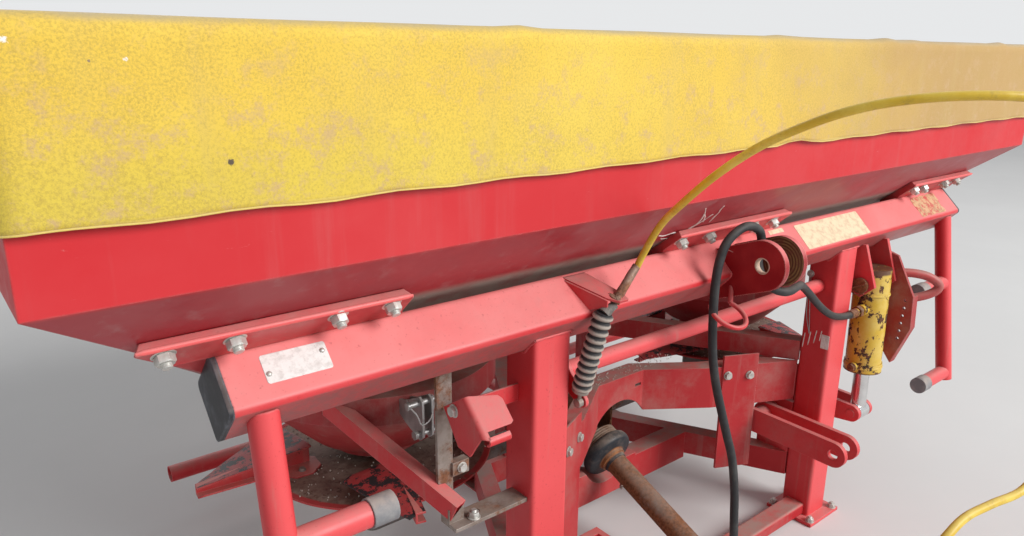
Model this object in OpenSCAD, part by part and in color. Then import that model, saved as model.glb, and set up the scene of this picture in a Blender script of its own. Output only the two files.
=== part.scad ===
// Mounted twin disc fertiliser spreader, in millimetres.
// The origin is on the floor, in the plane of the two disc axles, midway between them.
// X runs across the machine, Y runs back from the tractor, Z is up.

/* [Machine] */
// Height of the rounded top corner of the cross beam above the floor
beam_top_z = 950; // [930:1:990]
// Distance from the disc axles forward to the middle of the cross beam
beam_back = 483; // [470:1:500]

/* [Cross beam and posts] */
// Length of the cross beam
beam_len = 2350; // [2250:1:2450]
// Side of the beam's square tube, which stands on its corner
beam_side = 100; // [95:1:110]
// Wall of the beam's tube
beam_wall = 6; // [4:0.5:10]
// Radius of the tube's corners
beam_r = 12; // [8:1:14]
// Distance between the middles of the two posts
post_gap = 1112; // [1100:1:1130]
// Width of a post
post_w = 95; // [85:1:105]
// Depth of a post
post_d = 90; // [80:1:100]
// Wall of a post
post_wall = 5; // [3:0.5:8]
// Radius of a post's corners
post_r = 10; // [6:1:12]
// Length of the plastic cap on each end of the beam that stands outside
cap_len = 8; // [5:1:12]
// Thickness of a post's foot plate
foot_t = 10; // [8:1:14]

/* [Hopper] */
// Length of the hopper over its vertical band
hopper_len = 2820; // [2760:1:2860]
// Depth of the hopper over its vertical band
hopper_dep = 1240; // [1220:1:1260]
// Height of the fold between band and sloped panels
fold_z = 1090; // [1080:1:1110]
// Height of the vertical band
band_h = 270; // [220:1:280]
// Thickness of the hopper's sheet
sheet = 4; // [3:0.5:6]
// Height of the ridge between the two funnels
ridge_z = 850; // [820:1:880]
// Height of the funnels' lower edge
outlet_z = 690; // [680:1:700]
// Width of a funnel's outlet
outlet_w = 500; // [460:1:510]
// Depth of a funnel's outlet
outlet_d = 272; // [250:1:280]
// Width of the flange that is turned in at the top of the band
rim_w = 30; // [20:1:40]
// Outer radius of an outlet bowl at its rim
bowl_r = 292; // [290:1:300]
// Radius of the hole in the bottom of a bowl
bowl_hole_r = 105; // [90:1:120]
// Height of a bowl's lower edge above its disc
bowl_gap = 28; // [20:1:40]
// Distance of the centre frame's uprights from the middle of the machine
upright_x = 165; // [150:1:180]

/* [Discs] */
// Distance between the two disc axles
disc_gap = 1330; // [1320:1:1350]
// Radius of a disc
disc_r = 280; // [270:1:290]
// Height of a disc's upper face above the floor
disc_z = 430; // [425:1:440]
// Thickness of a disc
disc_t = 5; // [4:0.5:8]
// Radius that the tips of the long vanes reach
vane_r = 425; // [400:1:435]
// Radius that the tips of the short vanes reach
short_vane_r = 360; // [340:1:380]
// Height of a vane at its root
vane_h = 52; // [45:1:56]
// Height of a vane at its tip
vane_tip_h = 25; // [20:1:32]
// Width of a vane's flanges
vane_w = 22; // [16:1:28]
// Distance of a vane's root from the disc's axle
vane_root = 170; // [165:1:200]
// Thickness of a vane's sheet
vane_t = 4; // [3:0.5:6]

/* [Cover] */
// Distance that the cover stands out past the band at its sides
cover_out = 16; // [12:1:20]
// Height of the cover's lower edge
cover_low_z = 1183; // [1170:1:1190]
// Height of the top of the cover at its edges
cover_top_z = 1402; // [1398:1:1410]
// Thickness of the cover
cover_t = 4; // [3:0.5:6]
// Diameter of the tubes of the cover's frame
bow_d = 20; // [16:1:22]
// Distance between two bows of the cover's frame
bow_gap = 450; // [400:1:500]
// Distance between two hinges of the cover
hinge_gap = 900; // [800:1:1000]

/* [Hitch] */
// Distance from the middle of the beam forward to the top link holes
ear_reach = 142; // [138:1:146]
// Height of the top link holes above the lower link pins
mast_h = 610; // [590:1:630]
// Diameter of the top link holes
top_hole_d = 32; // [25:0.5:33]
// Clear width between the top link ears
ear_gap = 56; // [53:1:60]
// Thickness of a top link ear
ear_t = 15; // [12:1:20]
// Radius of the rounded front of an ear
ear_r = 57; // [50:1:60]
// Distance between the middles of the lower link clevises
link_gap = 870; // [860:1:880]
// Clear width in a lower link clevis
link_w = 52; // [48:1:56]
// Diameter of the lower link pins
link_pin_d = 28; // [25:0.5:30]
// Thickness of the lower link plates
link_t = 15; // [12:1:18]
// Diameter of the rock shaft that carries the right lower link
rock_d = 50; // [45:1:55]
// Distance from the post's rear face back to the rock shaft
rock_gap = 63; // [60:1:66]
// Distance that the right lower link parks below the left one
park_drop = 4; // [4:1:6]

/* [Tilt cylinder] */
// Diameter of the cylinder's barrel
barrel_d = 100; // [96:1:100]
// Diameter of the cylinder's rod
rod_d = 45; // [35:1:50]
// Diameter of the cylinder's pins
cyl_pin_d = 25; // [20:1:30]
// Distance of the cylinder's axis from the middle of the machine
cyl_x = 694; // [692:1:700]
// Height of the cylinder's upper pin
cyl_top_z = 730; // [725:1:735]
// Height of the barrel's lower end
barrel_low_z = 455; // [440:1:470]
// Wall of the barrel
barrel_wall = 9; // [6:1:12]

/* [Drive] */
// Height of the drive shafts
drive_z = 286; // [284:1:290]
// Radius of the tubes that hold the cross drive shafts
drive_tube_r = 30; // [26:1:32]
// Slope of the parked drive shaft below level, in degrees
shaft_drop = 23; // [22:1:24]
// Length of the parked drive shaft from its cross to its end
shaft_len = 560; // [540:1:580]
// Diameter of the drive shaft's tube
shaft_d = 63; // [58:1:66]
// Greatest radius of the drive shaft's guard bell
bell_r = 78; // [74:1:80]
// Radius of the fixed guard that the bell meets
guard_r = 78; // [74:1:79]

/* [Fittings] */
// Diameter of the tube of a boarding step
step_d = 48; // [44:1:50]
// Diameter of the dosing shaft between the posts
dosing_d = 38; // [32:1:42]
// Diameter of the tube of the rear rail
rail_d = 48; // [42:1:60]
// Length of the rear rail
rail_len = 2000; // [1900:1:2100]

/* [Hose and cable] */
// Diameter of the hydraulic hose
hose_d = 20; // [18:1:22]
// Diameter of the control cable
cable_d = 14; // [13:1:15]
// Diameter of the coupler on the hose's free end
coupler_d = 28; // [26:1:32]
// Diameter of the fitting on the cable's free end
cable_end_d = 20; // [18:1:24]

/* [Hidden] */
$fn = 48;
fit = 0.05;
seat = 0.3;
eye_play = 1.2;
tube_wall = 4;
beam_corner = beam_side / sqrt(2) - beam_r * (sqrt(2) - 1);
beam_y = -beam_back;
beam_z = beam_top_z - beam_corner;
post_x = post_gap / 2;
post_y = beam_y + 10;
post_in = post_x - post_w / 2;
post_out = post_x + post_w / 2;
post_front = post_y - post_d / 2;
post_rear = post_y + post_d / 2;
foot_out = 30;
hop_x = hopper_len / 2;
hop_y = hopper_dep / 2;
band_top = fold_z + band_h;
disc_x = disc_gap / 2;
out_x0 = disc_x - outlet_w / 2;
out_x1 = disc_x + outlet_w / 2;
out_y = outlet_d / 2;
slope_front = (hop_y - out_y) / (fold_z - outlet_z);
slope_end = (hop_x - out_x1) / (fold_z - outlet_z);
slope_ridge = out_x0 / (ridge_z - outlet_z);
hole_z = beam_top_z - 28;
hole_y = beam_y - ear_reach;
pin_z = hole_z - mast_h;
pin_y = hole_y;
half_depth = beam_back + ear_reach + ear_r;
rock_y = post_rear + rock_gap;
link_x = link_gap / 2;
cyl_y = beam_y - 45;
eye_y = beam_y - 55;
eye_z = pin_z + 8;
// The lower frame: tubes from the posts back to a cross member, and the rails behind it
low_z = 115;
low_h = 75;
low_w = 50;
low_top = low_z + low_h;
front_member_y = [-150, -90];
cross_member_y = [82, 142];
cross_member_x = 305;
front_bar_h = 38;
bed_x = 130;
bed_t = 8;
frame_x = 140;
frame_back = 450;
rail_w = 60;
rail_z = low_top - rail_w / 2;
upright_w = 50;
upright_y = 112;
high_z = 495;
high_top = 556;
high_w = 48;
// The drive: the cross tubes' axis, the shaft's cross, and the height of the fixed guard's middle
drive_y = 20;
block_x = 100;
block_y = [-20, 70];
cross_y = -52;
flange_t = 8;
guard_z = drive_z + 26;
hood_z = guard_z + 21;
hood_r = guard_r + 6;
rear_y = half_depth - rail_d / 2;
hinge_y = hop_y + cover_out + 12;
hinge_z = cover_low_z + 2;
knuckle_d = 20;
hinge_pin_d = 10;
sector_x = cyl_x + barrel_d / 2 + 18;
step_x = beam_len / 2 - 47;
step_lean = 9;
rung_end = step_x - 143;
RUNGS = [655, 355];
dosing_z = 735;
lever_x = -478;
holder_y = post_front + 12;
holder_dep = 60;
holder_x = -763;
brace_w = 30;
brace_h = 38;
brace_from = [-759, beam_y, 530];
brace_to = [-disc_x + bowl_r * cos(227.6), bowl_r * sin(227.6), outlet_z - 31];
band_z = 370;
guard_band_h = 125;
guard_arch_r = 110;
guard_arch_z = 314;
// Each column is [first and last X of a strip under the hopper]
STRIPS = [[-1290, -870], [-215, 215], [870, 1290]];
// The angles that the vanes of the left disc point at, a long one first and then by turns
VANES = [175, 255, 355, 75];
// The guard band's line from the middle of the machine to the post, as [x, y]
GUARD_LINE = [[0, post_rear + 233], [90, post_rear + 233], [258, post_rear + 118], [post_in, post_rear]];
// The front edge of the tilt cylinder's sector plate, from the top down, as [y, z]
SECTOR_EDGE = [[beam_y - 79, 803], [beam_y - 138, 690], [beam_y - 143, 593], [beam_y - 99, 473]];
// The plan of the tab that holds the cable, as [x, distance along its slope]
TAB = [[-511, 3], [-452, 3], [-428, -85], [-432, -105], [-455, -105], [-475, -85]];
tab_slope = 18;
tab_t = 5;
tab_hole = [-452, -88];
// The hydraulic hose from the tilt cylinder's port over the top link ears and down to the floor
HOSE = [
    [598, -537, 655], [560, -537, 655], [505, -541, 664], [445, -548, 682], [385, -555, 711],
    [325, -563, 747], [270, -573, 782], [218, -584, 812], [160, -606, 836], [105, -628, 848],
    [60, -637, 848], [28, -634, 853], [4, -622, 866], [-11, -607, 889], [-11, -595, 915],
    [-3, -589, 943], [2, -588, 970], [-14, -588, 994], [-52, -586, 1006], [-88, -582, 996],
    [-110, -576, 973], [-118, -572, 940], [-118, -571, 900], [-116, -571, 860], [-112, -572, 812],
    [-109, -573, 760], [-108, -575, 700], [-103, -582, 640], [-93, -592, 580], [-84, -604, 520],
    [-76, -618, 460], [-72, -630, 380], [-76, -640, 300], [-86, -656, 215], [-104, -688, 130],
    [-124, -735, 75], [-137, -785, 50], [-140, -840, 44]
];
// The metal sleeve that the control cable leaves the tab by
SLEEVE = [
    [-452, -574, 925], [-450, -574, 934], [-436, -573, 943], [-416, -570, 949], [-399, -567, 953],
    [-389, -565, 958], [-388, -568, 965]
];
// The control cable from its sleeve over the ears' height, down and back under itself to the floor
CABLE = [
    [-388, -568, 965], [-386, -584, 1000], [-396, -628, 1062], [-415, -690, 1115], [-427, -765, 1176],
    [-431, -840, 1228], [-425, -905, 1263], [-409, -965, 1290], [-378, -1022, 1307], [-335, -1085, 1316],
    [-274, -1142, 1316], [-195, -1180, 1306], [-110, -1202, 1280], [-28, -1214, 1230], [34, -1220, 1158],
    [72, -1222, 1075], [84, -1222, 985], [72, -1220, 895], [36, -1214, 810], [-20, -1206, 730],
    [-96, -1194, 672], [-186, -1176, 668], [-250, -1163, 664], [-301, -1158, 650], [-348, -1150, 615],
    [-385, -1142, 560], [-406, -1134, 480], [-414, -1126, 390], [-414, -1112, 300], [-412, -1090, 210],
    [-410, -1054, 130], [-411, -1005, 66], [-413, -950, 31]
];
cord_sides = 10;
hose_coil_r = 5.5 * hose_d;
hose_lead = 70;
hose_tail = 80;
cable_coil_r = 5.5 * cable_d;
cable_lead = 50;
cable_tail = 60;
plug_len = 80;

function panel_y(z) = -hop_y + slope_front * (fold_z - z);
function ridge_at(x) = ridge_z - abs(x) / slope_ridge;
function unit(v) = v / norm(v);
function last(list) = list[len(list) - 1];

module along_x(length) rotate([90, 0, 90]) linear_extrude(length, center = true) children();

module along_y(length) rotate([90, 0, 0]) linear_extrude(length, center = true) children();

module rod_x(d, length) rotate([0, 90, 0]) cylinder(d = d, h = length, center = true);

module rod_y(d, length) rotate([90, 0, 0]) cylinder(d = d, h = length, center = true);

module both_sides() for (side = [0, 1]) mirror([side, 0, 0]) children();

module extrude_at(z, h) translate([0, 0, z]) linear_extrude(h) children();

// A round bar from one point to another
module bar(from, to, d) {
    way = to - from;
    translate(from) rotate([0, acos(way[2] / norm(way)), atan2(way[1], way[0])])
        cylinder(d = d, h = norm(way));
}

// A rectangle with true round corners
module round_rect(w, h, r) {
    square([w - 2 * r, h], center = true);
    square([w, h - 2 * r], center = true);
    for (x = [-1, 1], y = [-1, 1])
        translate([x * (w / 2 - r), y * (h / 2 - r)]) circle(r);
}

module tube_section(w, h, wall, r) difference() {
    round_rect(w, h, r);
    round_rect(w - 2 * wall, h - 2 * wall, max(r - wall, 1));
}

module box_tube_x(w, h, length) along_x(length) tube_section(w, h, tube_wall, 8);

module box_tube_y(w, h, length) along_y(length) tube_section(w, h, tube_wall, 8);

module box_tube_z(w, d, length) linear_extrude(length) tube_section(w, d, tube_wall, 8);

module beam_outer(length) translate([0, beam_y, beam_z])
    along_x(length) rotate(45) round_rect(beam_side, beam_side, beam_r);

module beam() color("firebrick") difference() {
    beam_outer(beam_len);
    translate([0, beam_y, beam_z]) along_x(beam_len + 2) rotate(45)
        round_rect(beam_side - 2 * beam_wall, beam_side - 2 * beam_wall, beam_r - beam_wall);
}

// Plastic caps, each a plate with a collar inside the tube
module beam_caps() color("#202020") both_sides() {
    inside = beam_side - 2 * beam_wall - 1;
    translate([beam_len / 2 + cap_len / 2, beam_y, beam_z])
        along_x(cap_len) rotate(45) round_rect(beam_side, beam_side, beam_r);
    translate([beam_len / 2 - 14.5, beam_y, beam_z])
        along_x(31) rotate(45) tube_section(inside, inside, 4, 5);
}

module post(side) {
    difference() {
        translate([side * post_x, post_y, foot_t]) linear_extrude(beam_z - foot_t)
            tube_section(post_w, post_d, post_wall, post_r);
        beam_outer(beam_len);
    }
    translate([side * post_x, post_y, foot_t / 2])
        cube([post_w + 2 * foot_out, post_d + 2 * foot_out, foot_t], center = true);
}

module post_left() color("firebrick") post(-1);

module post_right() color("firebrick") post(1);

module ear_profile() difference() {
    union() {
        translate([hole_y, hole_z]) circle(ear_r);
        polygon([
            [hole_y + ear_r * sin(21), hole_z + ear_r * cos(21)], [beam_y - 13, beam_top_z - 15],
            [beam_y, beam_z - 40], [beam_y - 12, beam_z - beam_corner - 8],
            [hole_y - ear_r * sin(23), hole_z - ear_r * cos(23)]
        ]);
    }
    translate([hole_y, hole_z]) circle(d = top_hole_d);
}

module top_link_ears() color("firebrick") difference() {
    both_sides() translate([ear_gap / 2 + ear_t / 2, 0, 0]) along_x(ear_t) ear_profile();
    beam_outer(beam_len);
}

// An open ring that the hose hangs through, on a rod welded to the left top link ear
module hose_hook() {
    ring_r = 43;
    ring_d = 11;
    ear_face = ear_gap / 2 + ear_t;
    middle = [-94, beam_y - 102, beam_top_z - 138];
    start = middle + ring_r * [cos(35), sin(35) * cos(30), sin(35) * sin(30)];
    color("firebrick") {
        translate(middle) rotate([30, 0, 0]) rotate([0, 0, -230])
            rotate_extrude(angle = 265) translate([ring_r, 0]) circle(d = ring_d);
        difference() {
            bar(start, [-ear_face + 7, beam_y - 64, beam_top_z - 89], ring_d);
            translate([-ear_face, beam_y - 100, beam_top_z - 130]) cube([30, 60, 60]);
        }
    }
}

// Profiles of the hopper, seen from the front and from the side. The inner ones, set in by the
// sheet's thickness t, run past both ends of the sheet.
module hopper_front_view(t) {
    e = t * sqrt(1 + slope_end * slope_end);
    r = t * sqrt(1 + slope_ridge * slope_ridge);
    past = t > 0 ? 1 : 0;
    top_x = hop_x - e + (band_top + past - fold_z) * slope_end;
    intersection() {
        polygon([
            [-top_x, band_top + past], [-out_x1 + e, outlet_z], [-out_x1 + e, outlet_z - past],
            [-out_x0 - r, outlet_z - past], [-out_x0 - r, outlet_z], [0, ridge_z + r / slope_ridge],
            [out_x0 + r, outlet_z], [out_x0 + r, outlet_z - past], [out_x1 - e, outlet_z - past],
            [out_x1 - e, outlet_z], [top_x, band_top + past]
        ]);
        translate([-hop_x + t, outlet_z - 2]) square([2 * (hop_x - t), band_top - outlet_z + 4]);
    }
}

module hopper_side_view(t) {
    f = t * sqrt(1 + slope_front * slope_front);
    past = t > 0 ? 1 : 0;
    top_y = hop_y - f + (band_top + past - fold_z) * slope_front;
    intersection() {
        polygon([
            [-top_y, band_top + past], [-out_y + f, outlet_z], [-out_y + f, outlet_z - past],
            [out_y - f, outlet_z - past], [out_y - f, outlet_z], [top_y, band_top + past]
        ]);
        translate([-hop_y + t, outlet_z - 2]) square([2 * (hop_y - t), band_top - outlet_z + 4]);
    }
}

module hopper_block(t) intersection() {
    along_y(2 * hop_y + 10) hopper_front_view(t);
    along_x(2 * hop_x + 10) hopper_side_view(t);
}

module hopper() color("firebrick") {
    difference() {
        hopper_block(0);
        hopper_block(sheet);
    }
    translate([0, 0, band_top - sheet]) linear_extrude(sheet) difference() {
        square([2 * hop_x, 2 * hop_y], center = true);
        square([2 * (hop_x - rim_w), 2 * (hop_y - rim_w)], center = true);
    }
}

// Wedge strips between the hopper's front panel and the beam's upper rear face
module hopper_strips() color("indianred") for (s = STRIPS) translate([(s[0] + s[1]) / 2, 0, 0])
    difference() {
        along_x(s[1] - s[0]) polygon([
            [panel_y(beam_top_z + 52) - 1, beam_top_z + 52 + 1 / slope_front],
            [panel_y(beam_top_z - 13), beam_top_z - 13],
            [beam_y + 50, beam_top_z - 50],
            [beam_y + 8, beam_top_z - 30],
            [beam_y - 8, beam_top_z + 8],
            [beam_y - 48, beam_top_z + 44]
        ]);
        beam_outer(2 * hop_x);
        hopper_block(0);
    }

// An outlet bowl, turned, with a top plate that fits the funnel's square outlet
module bowl(side) translate([side * disc_x, 0, 0]) {
    low = disc_z + bowl_gap;
    neck = low + 17;
    cone = low + 42;
    belly = outlet_z - 95;
    rim = outlet_z - 62;
    rotate_extrude() polygon([
        [bowl_r - sheet, outlet_z - 2], [bowl_r, outlet_z - 2], [bowl_r, rim], [bowl_r - 30, belly],
        [bowl_hole_r + 60, cone], [bowl_hole_r + sheet, neck], [bowl_hole_r + sheet, low],
        [bowl_hole_r, low], [bowl_hole_r, neck + sheet], [bowl_hole_r + 58, cone + sheet],
        [bowl_r - 30 - sheet, belly + sheet], [bowl_r - sheet, rim + sheet]
    ]);
    translate([0, 0, outlet_z - sheet]) linear_extrude(sheet) difference() {
        circle(bowl_r);
        square([outlet_w - 3 * sheet, outlet_d - 3 * sheet], center = true);
    }
}

module bowl_left() color("firebrick") bowl(-1);

module bowl_right() color("firebrick") bowl(1);

module cover_view(half_w, low, high, r) {
    translate([-half_w, low]) square([2 * half_w, high - r - low]);
    translate([-half_w + r, low]) square([2 * (half_w - r), high - low]);
    for (s = [-1, 1]) translate([s * (half_w - r), high - r]) circle(r);
}

module cover_block(t, low, r) intersection() {
    along_y(2 * (hop_y + cover_out - t)) cover_view(hop_x + cover_out - t, low, cover_top_z - t, r);
    along_x(2 * (hop_x + cover_out - t)) cover_view(hop_y + cover_out - t, low, cover_top_z - t, r);
}

module cover() color("goldenrod") difference() {
    cover_block(0, cover_low_z, 30);
    cover_block(cover_t, cover_low_z - 1, 30 - cover_t);
}

module cover_frame() color("dimgray") {
    z = band_top + bow_d / 2 + seat;
    for (s = [-1, 1]) {
        translate([0, s * (hop_y - 15), z]) rod_x(bow_d, 2 * (hop_x - 15));
        translate([s * (hop_x - 15), 0, z]) rod_y(bow_d, 2 * (hop_y - 15));
    }
    for (i = [-2:2])
        translate([i * bow_gap, 0, cover_top_z - cover_t - bow_d / 2 - seat]) rod_y(bow_d, 2 * (hop_y - 12));
}

module hinge_leaves() color("firebrick") for (i = [-1:1]) translate([i * hinge_gap, 0, 0]) {
    for (s = [-1, 1]) translate([s * 32, 0, 0]) difference() {
        union() {
            translate([0, hinge_y, hinge_z]) rod_x(knuckle_d, 20);
            translate([-10, hop_y, hinge_z - 68]) cube([20, hinge_y - hop_y, 60]);
        }
        translate([0, hinge_y, hinge_z]) rod_x(hinge_pin_d + 2 * fit, 22);
    }
}

module hinge_flaps() color("dimgray") for (i = [-1:1]) translate([i * hinge_gap, 0, 0]) {
    translate([0, hinge_y, hinge_z]) {
        rod_x(knuckle_d, 42);
        rod_x(hinge_pin_d, 90);
    }
    translate([0, hop_y + cover_out + 3, hinge_z + 55]) cube([42, 6, 100], center = true);
    translate([0, hop_y + cover_out + 6, hinge_z + 8]) cube([42, 12, 10], center = true);
}

// The X of the lower diagonal tubes' inner face, on a line from the post's corner back and inwards
function low_inner(y) = post_in - (y - post_rear) * 0.512;

// The room round the parked drive shaft's bell
module bell_room(r) at_cross() rotate([90, 0, 0]) translate([0, 0, 20]) cylinder(r = r, h = 160);

// The lower diagonals and the two cross members, set in by t for the space inside them
module lower_tubes(t) {
    y0 = front_member_y[0] + t;
    y1 = front_member_y[1] - t;
    side = low_w / cos(atan(0.512));
    both_sides() extrude_at(low_z + t, low_h - 2 * t) polygon([
        [low_inner(post_rear) + 1.12 * t, post_rear], [low_inner(post_rear) + side - 1.12 * t, post_rear],
        [low_inner(cross_member_y[0]) + side - 1.12 * t, cross_member_y[0]],
        [low_inner(cross_member_y[0]) + 1.12 * t, cross_member_y[0]]
    ]);
    difference() {
        extrude_at(low_z - 15 + t, low_h + 15 - 2 * t) polygon([
            [-low_inner(y0), y0], [low_inner(y0), y0], [low_inner(y1), y1], [-low_inner(y1), y1]
        ]);
        bell_room(bell_r + 12 + t);
    }
    translate([0, (cross_member_y[0] + cross_member_y[1]) / 2, low_z + low_h / 2])
        cube([2 * cross_member_x + (t > 0 ? 2 : 0), rail_w - 2 * t, low_h - 2 * t], center = true);
}

module under_frame() color("firebrick") {
    difference() {
        lower_tubes(0);
        lower_tubes(tube_wall);
    }
    translate([0, post_y, foot_t + front_bar_h / 2]) box_tube_x(rail_w, front_bar_h, 2 * post_in);
    difference() {
        extrude_at(low_top, bed_t) translate([-bed_x, front_member_y[0]])
            square([2 * bed_x, cross_member_y[1] - front_member_y[0]]);
        bell_room(bell_r + 12);
    }
    both_sides() {
        translate([frame_x, (cross_member_y[1] + frame_back) / 2, rail_z])
            box_tube_y(rail_w, rail_w, frame_back - cross_member_y[1]);
        translate([frame_x, frame_back - rail_w / 2, foot_t])
            box_tube_z(rail_w, rail_w, rail_z - rail_w / 2 - foot_t);
        translate([frame_x, frame_back - rail_w / 2, foot_t / 2])
            cube([2 * rail_w, 2 * rail_w, foot_t], center = true);
    }
}

// Angle bars from the posts back to two uprights, which carry the ridge between the funnels
module centre_frame() color("firebrick") {
    side = upright_x + upright_w / 2;
    reach = [side - post_in, 100 - post_rear];
    shift = high_w * norm(reach) / reach[1];
    rear_step = shift * reach[1] / (post_in - side);
    both_sides() {
        extrude_at(high_top - 5, 5) polygon([
            [post_in, post_rear], [post_in + shift, post_rear], [side, 100 + rear_step], [side, 100]
        ]);
        extrude_at(high_z, high_top - high_z) polygon([
            [post_in, post_rear], [post_in + 6, post_rear], [side, 100 + 10], [side, 100]
        ]);
        difference() {
            translate([0, upright_y, 0]) along_y(upright_w) polygon([
                [side - upright_w, low_top], [side, low_top], [side, ridge_at(side)],
                [side - upright_w, ridge_at(side - upright_w)]
            ]);
            translate([upright_x, upright_y, low_top - 1])
                linear_extrude(ridge_z) square(upright_w - 2 * tube_wall, center = true);
        }
    }
    translate([0, upright_y, high_top]) box_tube_x(upright_w, 60, 2 * upright_x - upright_w);
}

module rear_rail() color("firebrick") {
    translate([0, rear_y, rail_z]) difference() {
        rod_x(rail_d, rail_len);
        rod_x(rail_d - 2 * tube_wall, rail_len + 2);
    }
    both_sides() difference() {
        union() {
            translate([frame_x, (frame_back + rear_y) / 2, rail_z]) rod_y(rail_d - 8, rear_y - frame_back);
            translate([frame_x, frame_back + 3, rail_z]) cube([rail_w, 6, rail_w], center = true);
        }
        translate([0, rear_y, rail_z]) rod_x(rail_d - tube_wall, rail_len);
    }
}

// The middle gearbox with its flange, the lug that holds the drive shaft's cross, and the cross tubes
module gearbox() color("dimgray") {
    translate([-block_x, block_y[0], low_top + bed_t])
        cube([2 * block_x, block_y[1] - block_y[0], drive_z + 60 - low_top - bed_t]);
    translate([0, drive_y, drive_z]) rod_x(2 * drive_tube_r, 2 * disc_x - 140);
    translate([0, block_y[0] - flange_t / 2, guard_z]) rod_y(2 * guard_r, flange_t);
    difference() {
        union() {
            translate([0, cross_y, drive_z]) rod_x(32, 26);
            translate([-13, cross_y, drive_z - 16]) cube([26, block_y[0] - flange_t - cross_y, 32]);
        }
        translate([0, cross_y, drive_z]) rod_x(14 + 2 * fit, 30);
    }
}

// The ribbed ring that stays on the gearbox, in front of its flange
module shaft_guard() color("#303438") {
    ribs = 6;
    front = block_y[0] - flange_t;
    translate([0, front, guard_z]) rotate([90, 0, 0]) rotate_extrude() polygon(concat(
        [[guard_r - 8, 68], [guard_r - 6, 0]],
        [for (i = [0:ribs - 1], s = [0, 1, 2, 3])
            [guard_r - i * 0.7 - (s == 1 || s == 2 ? 0 : 3), 11.3 * i + [0, 3, 7, 10][s]]],
        [[guard_r - 6, 68]]
    ));
}

// An arched sheet over the guard, its legs against the gearbox
module shaft_hood() color("saddlebrown") translate([0, (block_y[0] + cross_y - 36) / 2, hood_z])
    along_y(block_y[0] - cross_y + 36) difference() {
        union() {
            circle(hood_r);
            translate([-hood_r, drive_z - 46 - hood_z]) square([2 * hood_r, hood_z - drive_z + 46]);
        }
        circle(hood_r - 3);
        translate([3 - hood_r, -hood_z]) square([2 * hood_r - 6, hood_z]);
        translate([-hood_r - 1, -hood_z]) square([2 * hood_r + 2, drive_z - 46]);
    }

module disc_gearbox(side) color("dimgray") translate([side * disc_x, 0, 0]) difference() {
    extrude_at(drive_z - 42, disc_z - 30 - drive_z + 42) round_rect(140, 140, 25);
    translate([0, 0, disc_z - 60]) cylinder(r = 15 + fit, h = 40);
}

module disc_gearbox_left() disc_gearbox(-1);

module disc_gearbox_right() disc_gearbox(1);

module disc(side) color("saddlebrown") translate([side * disc_x, 0, 0]) {
    translate([0, 0, disc_z - disc_t]) cylinder(r = disc_r, h = disc_t, $fn = 96);
    translate([0, 0, disc_z - 28]) cylinder(r = 55, h = 28 - disc_t);
    translate([0, 0, disc_z - 58]) cylinder(r = 15, h = 32);
}

module disc_left() disc(-1);

module disc_right() disc(1);

// A vane of folded sheet, open towards the way the disc turns and lower at its tip, on its root plate
module vane(reach) {
    translate([0, (vane_t - vane_w) / 2, 0]) along_y(vane_t)
        polygon([[vane_root, 0], [reach, 0], [reach, vane_tip_h], [vane_root, vane_h]]);
    along_y(vane_w) polygon([[vane_root, 0], [reach, 0], [reach, vane_t], [vane_root, vane_t]]);
    along_y(vane_w) polygon([
        [vane_root, vane_h - vane_t], [reach, vane_tip_h - vane_t], [reach, vane_tip_h], [vane_root, vane_h]
    ]);
    translate([vane_root + 30, 0, 0]) rotate(22.5) cylinder(r = 52, h = vane_t, $fn = 8);
}

module vanes(side) color("firebrick") translate([side * disc_x, 0, disc_z]) mirror([side > 0 ? 1 : 0, 0, 0])
    for (i = [0:3]) rotate(VANES[i]) vane(i % 2 == 0 ? vane_r : short_vane_r);

module vanes_left() vanes(-1);

module vanes_right() vanes(1);

module at_cross() translate([0, cross_y, drive_z]) rotate([shaft_drop, 0, 0]) children();

module drive_shaft() color("saddlebrown") at_cross() difference() {
    union() {
        rotate([90, 0, 0]) {
            translate([0, 0, 20]) cylinder(d = 40, h = 112);
            translate([0, 0, 130]) cylinder(d = shaft_d, h = shaft_len - 200);
            translate([0, 0, shaft_len - 80]) cylinder(d = shaft_d + 9, h = 80);
        }
        for (s = [-1, 1]) translate([s * 20, 0, 0]) {
            rod_x(32, 10);
            translate([-5, -34, -16]) cube([10, 34, 32]);
        }
        rod_x(14, 50);
    }
    rotate([90, 0, 0]) translate([0, 0, shaft_len - 60]) cylinder(d = 35, h = 61);
}

// The bell that turns with the shaft: ribs at its open end, a bulge, and a neck on the tube
module shaft_bell() color("#303438") at_cross() rotate([90, 0, 0]) rotate_extrude() polygon(concat(
    [[bell_r - 12, 60]],
    [for (i = [0:3], s = [0, 1, 2, 3]) [bell_r - (s == 1 || s == 2 ? 4 : 8), 60 + 8 * i + [0, 2, 5, 7][s]]],
    [[bell_r, 95], [bell_r, 105], [bell_r - 4, 118], [bell_r - 16, 126], [bell_r - 28, 130],
        [bell_r - 32, 132], [bell_r - 32, 140], [bell_r - 38, 141], [bell_r - 38, 152],
        [shaft_d / 2, 152], [shaft_d / 2, 130], [bell_r - 32, 127], [bell_r - 20, 122],
        [bell_r - 8, 114], [bell_r - 4, 104], [bell_r - 4, 96], [bell_r - 12, 90]]
));

// A plate with the hole for a lower link pin, which may sit lower than the plate's other end
module link_plate(x, back, drop = 0) translate([x, 0, 0]) along_x(link_t) difference() {
    union() {
        translate([pin_y, pin_z - drop]) circle(36);
        polygon([
            [pin_y, pin_z - drop + 36], [back, pin_z + 36], [back, pin_z - 36], [pin_y, pin_z - drop - 36]
        ]);
    }
    translate([pin_y, pin_z - drop]) circle(d = link_pin_d + 1);
}

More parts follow.
